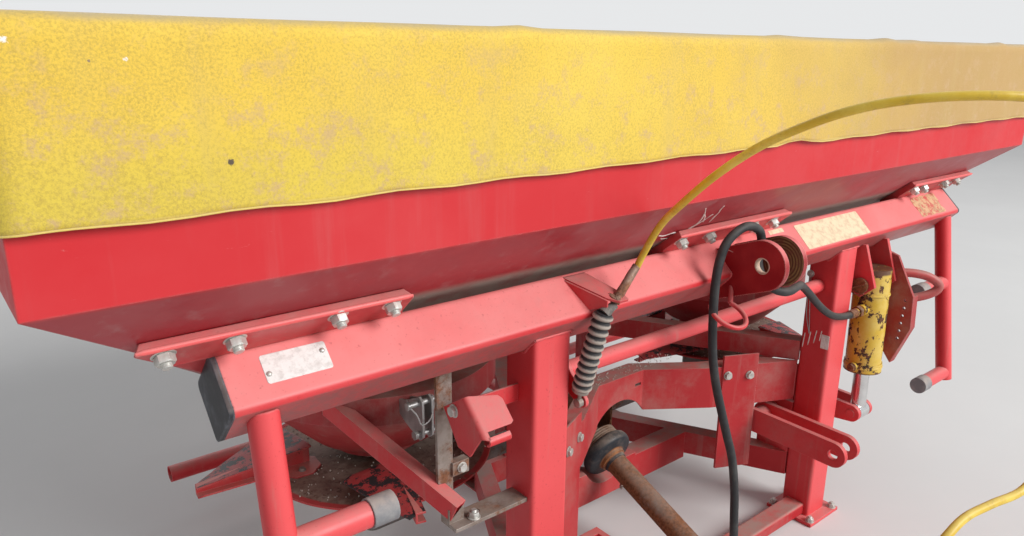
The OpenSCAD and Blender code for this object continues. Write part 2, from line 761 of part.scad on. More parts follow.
module link_bracket_left() color("firebrick") {
    first = link_x - link_w / 2 - link_t;
    for (s = [-1, 1]) link_plate(-link_x + s * (link_w + link_t) / 2, post_front + 20);
    translate([-post_in, post_front, pin_z - 36]) cube([post_in - first, 20, 72]);
}

// Two bearing plates behind the right post, the inner one carried down to the lower diagonal
module rock_bearings() color("firebrick") for (s = [-1, 1])
    translate([post_x + s * (post_w / 2 - 8), 0, 0]) along_x(16) difference() {
        union() {
            translate([rock_y, pin_z]) circle(45);
            translate([post_rear, pin_z - 45]) square([rock_gap, 90]);
            if (s < 0) translate([post_rear, low_top]) square([rock_gap + 45, pin_z - 45 - low_top + 20]);
        }
        translate([rock_y, pin_z]) circle(d = rock_d + 2 * fit);
    }

module tilt_arm() color("firebrick") {
    x0 = link_x - link_w / 2 - link_t;
    x1 = cyl_x + 45;
    translate([(x0 + x1) / 2, rock_y, pin_z]) rod_x(rock_d, x1 - x0);
    for (s = [-1, 1]) {
        link_plate(link_x + s * (link_w + link_t) / 2, rock_y, park_drop);
        translate([link_x + s * (link_w + link_t) / 2, rock_y, pin_z]) rod_x(72, link_t);
    }
    for (s = [-1, 1]) translate([cyl_x + s * 34, 0, 0]) along_x(14) difference() {
        union() {
            translate([eye_y, eye_z]) circle(26);
            translate([rock_y, pin_z]) circle(40);
            polygon([[eye_y, eye_z + 26], [rock_y, pin_z + 40], [rock_y, pin_z - 40], [eye_y, eye_z - 26]]);
        }
        translate([eye_y, eye_z]) circle(d = cyl_pin_d);
    }
    translate([cyl_x, eye_y, eye_z]) rod_x(cyl_pin_d, 90);
}

module cylinder_bracket() color("firebrick") {
    for (s = [-1, 1]) translate([cyl_x + s * (barrel_d / 2 + 12), 0, 0]) along_x(12) difference() {
        polygon([[beam_y + 40, beam_z - 45], [beam_y + 45, cyl_top_z + 20], [cyl_y, cyl_top_z - 36],
            [cyl_y - 40, cyl_top_z], [beam_y - 45, beam_z - 35]]);
        translate([cyl_y, cyl_top_z]) circle(d = cyl_pin_d);
        translate([beam_y, beam_z]) rotate(45) round_rect(beam_side, beam_side, beam_r);
    }
    translate([cyl_x + 8, cyl_y, cyl_top_z]) rod_x(cyl_pin_d, barrel_d + 64);
}

function cyl_tilt() = atan((cyl_y - eye_y) / (cyl_top_z - eye_z));

module at_cylinder() translate([cyl_x, cyl_y, cyl_top_z]) rotate([-cyl_tilt(), 0, 0]) children();

// The barrel with its gland, the hose's port and a plugged boss at its lower end
module cylinder_barrel() color("gold") {
    low = barrel_low_z - cyl_top_z;
    port_x = HOSE[0][0];
    difference() {
        union() {
            at_cylinder() translate([0, 0, low]) cylinder(d = barrel_d, h = 42 - low);
            at_cylinder() translate([0, 0, low]) cylinder(d = barrel_d + 6, h = 28);
            translate([(port_x + cyl_x) / 2, HOSE[0][1], HOSE[0][2]]) {
                rod_x(hose_d + 4, cyl_x - port_x);
                translate([12, 0, 0]) rod_x(hose_d + 12, cyl_x - port_x - 32);
            }
            translate([cyl_x - 30, cyl_y - 4, barrel_low_z + 20]) rod_x(26, 60);
        }
        at_cylinder() translate([0, 0, low - 1]) cylinder(d = rod_d + 2 * fit, h = 31);
        at_cylinder() translate([0, 0, low + 25])
            cylinder(d = barrel_d - 2 * barrel_wall, h = cyl_top_z - barrel_low_z - 70);
        at_cylinder() rod_x(cyl_pin_d + 2 * fit, barrel_d + 2);
    }
}

module cylinder_rod() color("silver") at_cylinder() {
    low = -(cyl_top_z - eye_z) / cos(cyl_tilt());
    difference() {
        union() {
            translate([0, 0, low + 15]) cylinder(d = rod_d, h = barrel_low_z - cyl_top_z - low + 100);
            translate([0, 0, low]) rod_x(52, 50);
        }
        translate([0, 0, low]) rod_x(cyl_pin_d + 2 * eye_play, 60);
    }
}

// The sector plate with its row of holes and a folded edge
module sector_plate() color("firebrick") {
    translate([sector_x + 5, 0, 0]) along_x(10) difference() {
        polygon(concat([[beam_y - 10, beam_z - 60]], SECTOR_EDGE, [[beam_y - 30, 560]]));
        for (i = [0:5]) translate([beam_y - 118 + i * 1.5, 675 - 24 * i]) circle(d = 9);
        translate([cyl_y, cyl_top_z]) circle(d = cyl_pin_d);
        translate([beam_y, beam_z]) rotate(45) round_rect(beam_side, beam_side, beam_r);
    }
    translate([sector_x + 20, 0, 0]) along_x(20) polygon(concat(
        [for (i = [1:3]) SECTOR_EDGE[i]], [for (i = [3:-1:1]) SECTOR_EDGE[i] + [5, 0]]
    ));
}

module guide_loop() color("firebrick") translate([sector_x + 10, beam_y - 105, 690]) {
    for (z = [0, 70]) translate([50, 0, z]) rod_x(26, 100);
    translate([100, 0, 35]) rotate([90, 0, 0]) rotate([0, 0, -90])
        rotate_extrude(angle = 180) translate([35, 0]) circle(d = 26);
}

// The shaft between the posts that sets the outlets, with the lever that the cable moves
module dosing_shaft() color("firebrick") {
    shaft_y = post_y + 10;
    eye = [beam_y - 41, 690];
    translate([0, shaft_y, dosing_z]) rod_x(dosing_d, 2 * post_in - 2 * seat);
    translate([lever_x, 0, 0]) along_x(8) difference() {
        union() {
            translate([shaft_y, dosing_z]) circle(26);
            translate(eye) circle(13);
            polygon([
                eye + [-11, 8], [shaft_y - 8, dosing_z + 25], [shaft_y + 8, dosing_z - 25], eye + [8, -11]
            ]);
        }
        translate(eye) circle(d = 9);
    }
}

function step_y(z) = beam_y - 45 - (840 - z) * tan(step_lean);

module step_pole() translate([step_x, beam_y - 45, 840]) rotate([-step_lean, 0, 0]) difference() {
    translate([0, 0, -515]) cylinder(d = step_d, h = 545);
    translate([0, 0, -516]) cylinder(d = step_d - 6, h = 540);
}

// On each side a pole hung from the beam, with two rungs that point inwards
module boarding_steps() color("firebrick") both_sides() difference() {
    union() {
        step_pole();
        for (z = RUNGS)
            translate([(step_x + rung_end) / 2, step_y(z), z]) rod_x(step_d - 4, step_x - rung_end);
    }
    beam_outer(beam_len + 10);
}

module step_caps() color("#404448") both_sides() for (z = RUNGS)
    translate([rung_end - 22.5, step_y(z), z]) rod_x(step_d + 2, 45);

// Half the plan of the guard band's plate or of its shelf, which reaches back by the given depth
module band_plan(t) polygon(concat(GUARD_LINE, [for (i = [3:-1:0]) GUARD_LINE[i] + [0, t]]));

// A band of folded plate between the posts, arched over the drive shaft, with a bolted stay each side
module guard_band() color("firebrick") {
    slope = (GUARD_LINE[3][1] - GUARD_LINE[2][1]) / (GUARD_LINE[3][0] - GUARD_LINE[2][0]);
    stay = [285, 385];
    stay_y = [for (x = stay) GUARD_LINE[2][1] + (x - GUARD_LINE[2][0]) * slope];
    difference() {
        both_sides() extrude_at(band_z, guard_band_h) band_plan(5);
        translate([0, GUARD_LINE[0][1], guard_arch_z]) rod_y(2 * guard_arch_r, 60);
        translate([70, GUARD_LINE[0][1], 455]) cube([24, 30, 9], center = true);
    }
    both_sides() {
        extrude_at(band_z + guard_band_h - 4, 4) polygon(concat(GUARD_LINE, [
            [post_in - 60, post_rear + 78], GUARD_LINE[2] + [0, 60], GUARD_LINE[1] + [0, 60],
            GUARD_LINE[0] + [0, 60]
        ]));
        extrude_at(170, 361) polygon([
            [stay[0], stay_y[0]], [stay[1], stay_y[1]], [stay[1], stay_y[1] - 6], [stay[0], stay_y[0] - 6]
        ]);
        translate([post_in - 2, post_rear, band_z + 10]) cube([52, 4, 100]);
    }
}

// The place of the sloped plate that the cable goes through
module on_tab() translate([0, beam_y - 7, beam_top_z - 2 - tab_t]) rotate([tab_slope, 0, 0]) children();

// The tab welded to the beam's front, a sloped plate with a turned gusset below its left edge
module cable_tab() color("firebrick") difference() {
    union() {
        on_tab() linear_extrude(tab_t) difference() {
            polygon(TAB);
            translate(tab_hole) circle(d = 20);
        }
        translate([TAB[0][0], beam_y - 7, beam_top_z - 2 - tab_t]) rotate([0, 0, 22]) along_x(tab_t)
            polygon([[0, 2], [0, -73], [-57, -50], [-95, -39], [-95, -26]]);
    }
    beam_outer(beam_len);
}

// A ring of points round each place of a route, carried along it without a twist
function smooth(p) = concat([for (i = [0:len(p) - 2], half = [false, true])
    half ? (9 * (p[i] + p[i + 1]) - p[max(i - 1, 0)] - p[min(i + 2, len(p) - 1)]) / 16 : p[i]], [last(p)]);
function ways(p, start, finish) = [for (i = [0:len(p) - 1])
    i == 0 ? start : i == len(p) - 1 ? finish : unit(p[i + 1] - p[i - 1])];
function carried(w, n, i = 0) = i == len(w) ? [] :
    let(m = unit(n - w[i] * (n * w[i]))) concat([m], carried(w, m, i + 1));

// A free cord from its first to its last point, with flat ends that face along start and finish
module cord(route, d, start, finish) {
    p = smooth(route);
    w = ways(p, start, finish);
    n = carried(w, unit(cross(w[0], [0.1, 1, 0.3])));
    k = cord_sides;
    rings = len(p);
    polyhedron(
        [for (i = [0:rings - 1], j = [0:k - 1])
            p[i] + d / 2 * (cos(360 * j / k) * n[i] + sin(360 * j / k) * cross(w[i], n[i]))],
        concat(
            [[for (j = [0:k - 1]) j]],
            [for (i = [0:rings - 2], j = [0:k - 1], a = i * k, b = a + k, next = (j + 1) % k, half = [0, 1])
                half == 0 ? [a + j, b + j, b + next] : [a + j, b + next, a + next]],
            [[for (j = [k - 1:-1:0]) (rings - 1) * k + j]]
        )
    );
}

function cable_way() = unit(CABLE[1] - CABLE[0]);

module cable_sleeve() color("dimgray") {
    cord(SLEEVE, cable_d + 1, [0, 0, 1], cable_way());
    translate([tab_hole[0], SLEEVE[0][1], SLEEVE[0][2] - 14]) cylinder(d = 16, h = 14.5);
    on_tab() translate([tab_hole[0], tab_hole[1], tab_t]) cylinder(d = 28, h = 7);
}

// The ribbed bellows under the tab, and the rod that reaches the lever's eye
module bellows() color("dimgray") {
    top = [-478, -572, 892];
    low = [-490, -530, 722];
    ribs = 11;
    way = low - top;
    eye_z = 690;
    bar([tab_hole[0], -574, 902], top, 18);
    translate(top) rotate([0, acos(way[2] / norm(way)), atan2(way[1], way[0])]) {
        cylinder(d = 30, h = norm(way));
        for (i = [0:ribs - 1]) translate([0, 0, (i + 0.2) * norm(way) / ribs])
            cylinder(d1 = 34, d2 = 42, h = 0.35 * norm(way) / ribs);
        for (i = [0:ribs - 1]) translate([0, 0, (i + 0.55) * norm(way) / ribs])
            cylinder(d1 = 42, d2 = 34, h = 0.35 * norm(way) / ribs);
    }
    bar(low, [-490, beam_y - 41, eye_z], 8);
    translate([(lever_x - 490) / 2 + 3, beam_y - 41, eye_z]) rod_x(8, lever_x + 490 + 14);
}

// A folded holder for a coupling on the left post: a slotted front plate, a flank and a back plate
module coupling_holder() color("firebrick") {
    translate([0, holder_y - 2.5, 0]) along_y(5) difference() {
        polygon([
            [holder_x, 784], [-675, 762], [-655, 704], [-655, 668], [-690, 652], [-737, 650], [holder_x, 676]
        ]);
        translate([-706, 693]) circle(d = 22);
        translate([-706, 682]) square([60, 22]);
    }
    translate([holder_x, holder_y - 5, 690]) cube([5, holder_dep + 5, 94]);
    translate([holder_x, holder_y + holder_dep - 5, 700]) cube([-post_out - holder_x, 5, 60]);
}

// A flat lever from the beam down to the brace, with a clamp beside its foot
module rate_lever() color("gray") {
    difference() {
        translate([-775, beam_y + 42, 545]) cube([34, 8, 330]);
        beam_outer(beam_len);
        brace_block(brace_w + 2 * seat, brace_h + 2 * seat);
    }
    translate([-745, beam_y + 36, 580]) cube([38, 18, 28]);
}

// The brace's body, which may start ahead of the brace to cut through its end
module brace_block(w, h, ahead = 0) {
    way = brace_to - brace_from;
    across = norm([way[0], way[1]]);
    translate(brace_from) rotate([0, 0, atan2(way[1], way[0])]) rotate([0, -atan2(way[2], across), 0])
        translate([-ahead, -w / 2, -h / 2]) cube([norm(way) + 80, w, h]);
}

// A plate from the left post to the brace, with a wedge that seats it
module post_bracket() color("firebrick") difference() {
    union() {
        translate([-778, beam_y - 20, 499]) cube([778 - post_out, 50, 8]);
        translate([-778, beam_y + 2, 506]) cube([34, 28, 30]);
    }
    brace_block(brace_w + 2 * seat, brace_h + 2 * seat);
    translate([-711, beam_y + 8, 498]) cylinder(d = 14, h = 10);
}

// A box channel from the bracket on the post to the wall of the left bowl
module brace() color("firebrick") difference() {
    brace_block(brace_w, brace_h);
    brace_block(brace_w - 8, brace_h - 8, 2);
    translate([-disc_x, 0, outlet_z - 200]) cylinder(r = bowl_r + seat, h = 300);
}

module hose() color("#151515") cord(HOSE, hose_d, [-1, 0, 0], [0, -1, 0]);

// The outer shape of a coil that a cord runs into at its end and leaves on the other side
module coil(end, dir, r, d, lead, tail, z) {
    y = end[1] + dir * lead;
    translate([end[0] - r, y, z - d / 2])
        rotate_extrude() translate([r - d / 2, 0]) square([d, end[2] - z + d]);
    translate([end[0], (end[1] + y) / 2, end[2]]) rod_y(d, lead);
    translate([end[0] - 2 * r, y - dir * tail / 2, z]) rod_y(d, tail);
}

// The fitting on a coiled cord's free end, lying on the floor
module plug(end, dir, r, d, lead, tail)
    translate([end[0] - 2 * r, end[1] + dir * (lead - tail - plug_len / 2), d / 2]) rod_y(d, plug_len);

module hose_coil() color("#151515")
    coil(last(HOSE), -1, hose_coil_r, hose_d, hose_lead, hose_tail, coupler_d / 2);

module hose_coupler() color("silver") plug(last(HOSE), -1, hose_coil_r, coupler_d, hose_lead, hose_tail);

module cable() color("gold") cord(CABLE, cable_d, cable_way(), [0, 1, 0]);

module cable_coil() color("gold")
    coil(last(CABLE), 1, cable_coil_r, cable_d, cable_lead, cable_tail, cable_end_d / 2);

module cable_end() color("#202020") plug(last(CABLE), 1, cable_coil_r, cable_end_d, cable_lead, cable_tail);

beam();
beam_caps();
post_left();
post_right();
top_link_ears();
hose_hook();
hopper();
hopper_strips();
bowl_left();
bowl_right();
cover();
cover_frame();
hinge_leaves();
hinge_flaps();
under_frame();
centre_frame();
rear_rail();
gearbox();
shaft_guard();
shaft_hood();
disc_gearbox_left();
disc_gearbox_right();
disc_left();
disc_right();
vanes_left();
vanes_right();
drive_shaft();
shaft_bell();
link_bracket_left();
rock_bearings();
tilt_arm();
cylinder_bracket();
cylinder_barrel();
cylinder_rod();
sector_plate();
guide_loop();
dosing_shaft();
boarding_steps();
step_caps();
guard_band();
cable_tab();
cable_sleeve();
bellows();
coupling_holder();
rate_lever();
post_bracket();
brace();
hose();
hose_coil();
hose_coupler();
cable();
cable_coil();
cable_end();
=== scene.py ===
"""A mounted twin disc fertiliser spreader with its cover, hose and control cable, on a pale floor."""
import math

import bpy
import numpy as np
from bpy.props import FloatProperty, FloatVectorProperty, PointerProperty
from mathutils import Matrix


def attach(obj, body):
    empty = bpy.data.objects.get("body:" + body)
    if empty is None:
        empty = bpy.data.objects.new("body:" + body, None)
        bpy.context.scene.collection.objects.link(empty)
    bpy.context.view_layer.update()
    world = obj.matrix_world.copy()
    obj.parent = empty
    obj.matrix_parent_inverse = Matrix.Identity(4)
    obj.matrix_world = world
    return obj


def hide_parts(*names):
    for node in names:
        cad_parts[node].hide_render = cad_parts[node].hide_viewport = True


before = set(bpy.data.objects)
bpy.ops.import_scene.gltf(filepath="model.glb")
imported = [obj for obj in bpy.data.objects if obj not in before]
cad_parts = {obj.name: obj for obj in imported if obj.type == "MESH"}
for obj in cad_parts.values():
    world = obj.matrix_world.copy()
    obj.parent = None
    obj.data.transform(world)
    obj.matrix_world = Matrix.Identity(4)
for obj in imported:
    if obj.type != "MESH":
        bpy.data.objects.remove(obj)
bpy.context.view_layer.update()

bl_info = {
    "name": "Twin Disc Spreader",
    "version": (1, 0, 0),
    "blender": (4, 5, 0),
    "location": "3D View > Sidebar > Spreader",
    "description": "Finishes the spreader's parts and adds its cloth, cords, fixings and wear",
    "category": "Object",
}

BODY = "frame_body"

# Places of the discs and the drive shaft's joint in metres, and of the posts in millimetres
DISC_X, DISC_Z = 0.665, 0.43
SHAFT_JOINT = (0.0, -0.052, 0.286)
SHAFT_TILT = math.radians(23)
SHAFT_AXIS = (0.0, -math.cos(SHAFT_TILT), -math.sin(SHAFT_TILT))
POST_X, POST_HALF = 556, 47

# The way each vane of the left disc points, in degrees
VANE_ANGLES = (175, 255, 355, 75)

# The cover's bow spacing in metres
BOW_GAP = 0.45

# The camera of the photograph: its place and its right, up and back directions
CAMERA_PLACE = (-1.4834, -1.5304, 1.3688)
CAMERA_WAYS = ((0.7777, -0.6285, 0.0085), (0.1648, 0.2168, 0.9622), (-0.6068, -0.7468, 0.2722))
CAMERA_LENS = 26.87
CAMERA_SENSOR = 36

# Route of the hydraulic hose in millimetres, from the cylinder's port over the ears and through the hook
HOSE_ROUTE = [
    (598, -537, 655), (560, -537, 655), (505, -541, 664), (445, -548, 682), (385, -555, 711),
    (325, -563, 747), (270, -573, 782), (218, -584, 812), (160, -606, 836), (105, -628, 848),
    (60, -637, 848), (28, -634, 853), (4, -622, 866), (-11, -607, 889), (-11, -595, 915),
    (-3, -589, 943), (2, -588, 970), (-14, -588, 994), (-52, -586, 1006), (-88, -582, 996),
    (-112, -576, 973), (-124, -572, 938), (-130, -571, 900), (-132, -571, 856), (-131, -572, 808),
    (-128, -573, 756), (-122, -576, 700), (-112, -583, 640), (-99, -593, 580), (-87, -605, 520),
    (-76, -618, 460), (-72, -630, 380), (-76, -640, 300), (-86, -656, 215), (-104, -688, 130),
    (-124, -735, 75), (-137, -785, 50), (-140, -840, 44),
]

# Route of the control cable in millimetres, from its sleeve on the beam's tab, through its loop, to the floor
CABLE_ROUTE = [
    (-388, -568, 965), (-386, -584, 1000), (-396, -628, 1062), (-415, -690, 1115), (-427, -765, 1176),
    (-431, -840, 1228), (-425, -905, 1263), (-409, -965, 1290), (-378, -1022, 1307), (-335, -1085, 1316),
    (-274, -1142, 1316), (-195, -1180, 1306), (-110, -1202, 1280), (-28, -1214, 1230), (34, -1220, 1158),
    (72, -1222, 1075), (84, -1222, 985), (72, -1220, 895), (36, -1214, 810), (-20, -1206, 730),
    (-96, -1194, 672), (-186, -1176, 668), (-250, -1163, 664), (-301, -1158, 650), (-348, -1150, 615),
    (-385, -1142, 560), (-406, -1134, 480), (-414, -1126, 390), (-414, -1112, 300), (-412, -1090, 210),
    (-410, -1054, 130), (-411, -1005, 66), (-413, -950, 31),
]

# X of each nut under the hopper's strips, and how far below the strip's lip it sits, in millimetres
STRIP_NUTS = [
    (-1250, 15), (-1156, 15), (-1001, 13), (-908, 14), (-196, 17), (-98, 18), (70, 19), (150, 19),
    (895, 17), (955, 17), (1095, 15), (1184, 15),
]
STRIP_ENDS = [(-1290, -870), (-215, 215), (870, 1290)]

# Scratches in the hopper's front panel, as points (x, z) on the panel, in millimetres
PANEL_SCRATCHES = [
    [(-234, 986), (-205, 983), (-178, 986), (-163, 996), (-161, 1010), (-150, 1024), (-146, 1040)],
    [(-178, 984), (-166, 1004), (-160, 1015), (-168, 1030), (-190, 1050), (-214, 1066)],
    [(-142, 1018), (-160, 1032), (-183, 1046)],
    [(-110, 1012), (-122, 1028), (-128, 1041), (-140, 1052), (-146, 1062)],
    [(-260, 1000), (-236, 996), (-210, 1000), (-196, 994)],
]

# White strokes of the tilt scale on the right post, as two ends (y, z) each, in millimetres
SCALE_STROKES = [
    ((-437, 541), (-441, 586)), ((-453, 551), (-458, 594)), ((-470, 562), (-476, 603)),
    ((-487, 574), (-491, 606)),
]

# Marks on the cover's skirt: place in metres, radius, colour
COVER_MARKS = [
    ((-1.177, -0.632, 1.242), 0.0042, (0.10, 0.075, 0.05)),
    ((-1.276, -0.632, 1.358), 0.0036, (0.80, 0.76, 0.70)),
    ((-1.311, -0.631, 1.356), 0.0022, (0.28, 0.20, 0.12)),
    ((-1.382, -0.632, 1.376), 0.0045, (0.86, 0.83, 0.78)),
]


# Surfaces

def smooth_path(points, steps):
    """Points in metres on a smooth curve through the given ones, a cubic between each two of them.

    Between p1 and p2 the curve is half of 2 p1 + (p2 - p0) t + (2 p0 - 5 p1 + 4 p2 - p3) t^2
    + (3 p1 - p0 - 3 p2 + p3) t^3, for t from 0 to 1.
    """
    p = np.asarray(points, float) / 1000
    p = np.vstack([2 * p[0] - p[1], p, 2 * p[-1] - p[-2]])
    t = (np.arange(steps) / steps)[None, :, None]
    p0, p1, p2, p3 = (p[k:len(p) - 3 + k, None, :] for k in range(4))
    curve = 0.5 * (2 * p1 + (p2 - p0) * t + (2 * p0 - 5 * p1 + 4 * p2 - p3) * t ** 2
                   + (3 * p1 - p0 - 3 * p2 + p3) * t ** 3)
    return np.vstack([curve.reshape(-1, 3), p[-2]])


def coil_path(centre, radius, start_z, drop, turns, side, per_turn=36):
    """Points on a coil from its right hand side: the height falls by drop a turn, side is the way round."""
    turn = np.linspace(0, turns, int(turns * per_turn) + 1)
    angle = side * 2 * math.pi * turn
    return np.stack([centre[0] + radius * np.cos(angle), centre[1] + radius * np.sin(angle),
                     start_z - drop * turn], 1)


def ring_frames(path, closed=False):
    """Two directions across the path at each point, carried along it without twist."""
    if closed:
        along = np.roll(path, -1, axis=0) - np.roll(path, 1, axis=0)
    else:
        along = np.gradient(path, axis=0)
    along /= np.linalg.norm(along, axis=1)[:, None]
    side = np.cross(along[0], (0.3, 0.4, 0.87))
    sides = []
    for direction in along:
        side = side - direction * (side @ direction)
        side = side / np.linalg.norm(side)
        sides.append(side)
    sides = np.array(sides)
    return sides, np.cross(along, sides)


def tube_grid(path, radius, sides=16, closed=False):
    """Rings along a path: each point is the path's point + radius (cos a, sin a) in its two directions."""
    across, up = ring_frames(path, closed)
    angle = np.arange(sides) * 2 * math.pi / sides
    radii = np.broadcast_to(np.asarray(radius, float), (len(path),))[:, None, None]
    return path[:, None, :] + radii * (np.cos(angle)[None, :, None] * across[:, None, :]
                                       + np.sin(angle)[None, :, None] * up[:, None, :])


def turned_grid(profile, start, along, sides=24):
    """Rings of a turned part along a direction: ring k is at start + d_k along, with radius r_k.

    Where a row gives a third number f above 0, its ring is a hexagon of apothem f cut at r_k: the radius at
    angle a is the smaller of r_k and f / cos(a mod 60 degrees - 30 degrees).
    """
    rows = np.array([(*row, 0)[:3] for row in profile], float)
    axis = np.asarray(along, float)
    axis = axis / np.linalg.norm(axis)
    side = np.cross(axis, (0.31, 0.52, 0.8))
    side /= np.linalg.norm(side)
    up = np.cross(axis, side)
    angle = np.arange(sides) * 2 * math.pi / sides
    hexagon = 1 / np.cos(np.mod(angle, math.pi / 3) - math.pi / 6)
    radii = np.where(rows[:, 2:] > 0, np.minimum(rows[:, 1:2], rows[:, 2:] * hexagon[None, :]), rows[:, 1:2])
    return (np.asarray(start, float)[None, None, :] + rows[:, 0][:, None, None] * axis[None, None, :]
            + radii[:, :, None] * (np.cos(angle)[None, :, None] * side[None, None, :]
                                   + np.sin(angle)[None, :, None] * up[None, None, :]))


def volume_of(points, loops, sizes):
    """Six times a closed shape's volume: the sum of a . (b x c) over triangles, negative if inside out."""
    centred = points - points.mean(0)
    first = np.repeat(np.cumsum(sizes) - sizes, sizes)
    step = np.arange(len(loops)) - first
    inner = (step > 0) & (step < np.repeat(sizes, sizes) - 1)
    a, b = centred[loops[first[inner]]], centred[loops[inner]]
    c = centred[loops[np.flatnonzero(inner) + 1]]
    return float(np.einsum("ij,ij->", a, np.cross(b, c)))


def surface(grid, caps=True, loop=False):
    """Points and faces of the quads between a grid's neighbouring rows and columns, facing outwards.

    Each row is a closed ring. The ends are flat if capped, and loop joins the last row to the first.
    """
    rows, cols = grid.shape[:2]
    index = np.arange(rows * cols).reshape(rows, cols)
    if loop:
        index = np.vstack([index, index[:1]])
    right = np.roll(index, -1, axis=1)
    loops = np.stack([index[:-1], right[:-1], right[1:], index[1:]], -1).reshape(-1)
    sizes = np.full(len(loops) // 4, 4)
    if caps:
        loops = np.concatenate([loops, index[0, ::-1], index[-1]])
        sizes = np.concatenate([sizes, [cols, cols]])
    points = grid.reshape(-1, 3)
    if volume_of(points, loops, sizes) < 0:
        ends = np.cumsum(sizes)
        loops = np.concatenate([loops[end - size:end][::-1] for end, size in zip(ends, sizes)])
    return points, loops, sizes


def joined(shapes):
    """Several sets of points and faces as one."""
    starts = np.cumsum([0] + [len(points) for points, _, _ in shapes])
    return (np.vstack([points for points, _, _ in shapes]),
            np.concatenate([loops + start for (_, loops, _), start in zip(shapes, starts)]),
            np.concatenate([sizes for _, _, sizes in shapes]))


def copied(shape, places, turns=None):
    """A shape repeated at each place: point = place + (turn's three directions) x (the shape's point)."""
    points, loops, sizes = shape
    places = np.asarray(places, float)
    count = len(places)
    turns = np.broadcast_to(np.eye(3), (count, 3, 3)) if turns is None else turns
    moved = places[:, None, :] + np.einsum("nij,pj->npi", turns, points)
    shifts = np.arange(count) * len(points)
    return moved.reshape(-1, 3), (loops[None, :] + shifts[:, None]).reshape(-1), np.tile(sizes, count)


def mesh_of(name, shape, sharp=40):
    """A mesh from points and faces, smooth but for edges sharper than the given angle in degrees."""
    points, loops, sizes = shape
    mesh = bpy.data.meshes.new(name)
    mesh.vertices.add(len(points))
    mesh.vertices.foreach_set("co", points.astype(np.float32).reshape(-1))
    mesh.loops.add(len(loops))
    mesh.loops.foreach_set("vertex_index", loops.astype(np.int32))
    mesh.polygons.add(len(sizes))
    mesh.polygons.foreach_set("loop_start", (np.cumsum(sizes) - sizes).astype(np.int32))
    mesh.update(calc_edges=True)
    mesh.validate()
    mesh.shade_smooth()
    mesh.set_sharp_from_angle(angle=math.radians(sharp))
    return mesh


def add_piece(name, shape, finish, body=BODY, sharp=40):
    """Puts a shape in the scene with a finish, as a piece that rides on a body."""
    piece = bpy.data.objects.new(name, mesh_of(name, shape, sharp))
    piece.data.materials.append(FINISHES[finish])
    bpy.context.scene.collection.objects.link(piece)
    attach(piece, body)
    return piece


def plate_shape(outline, thick, origin, across, down, edge=0.0004):
    """A thin bevelled plate: its outline (u, v) goes to origin + u across + v down, raised by thick."""
    outline = np.asarray(outline, float)
    across, down = np.asarray(across, float), np.asarray(down, float)
    out = np.cross(across, down)
    out /= np.linalg.norm(out)
    middle = outline.mean(0)
    shrink = outline + (middle - outline) * (edge / np.linalg.norm(outline - middle, axis=1))[:, None]
    rows = [(outline, -0.0006), (outline, thick - edge), (shrink, thick)]
    grid = np.stack([np.asarray(origin)[None, :] + flat[:, :1] * across + flat[:, 1:] * down + lift * out
                     for flat, lift in rows])
    return surface(grid)


def rounded_outline(width, height, radius, corner=6):
    """Points round a rectangle with rounded corners, from its upper left corner on."""
    quarter = np.linspace(0, math.pi / 2, corner)
    spots = [(width - radius, radius, -math.pi / 2), (width - radius, height - radius, 0),
             (radius, height - radius, math.pi / 2), (radius, radius, math.pi)]
    return np.vstack([np.stack([x + radius * np.cos(quarter + a), y + radius * np.sin(quarter + a)], 1)
                      for x, y, a in spots])


def ripples(x, y, seed, low, high, count):
    """A sum of cosine waves of random direction and phase, from -1 to 1."""
    rng = np.random.default_rng(seed)
    turn = rng.uniform(0, 2 * math.pi, count)
    rate = 2 * math.pi / rng.uniform(low, high, count)
    phase = rng.uniform(0, 2 * math.pi, count)
    waves = [np.cos(rate[k] * (x * math.cos(turn[k]) + y * math.sin(turn[k])) + phase[k])
             for k in range(count)]
    return sum(waves) / count


# Finishes

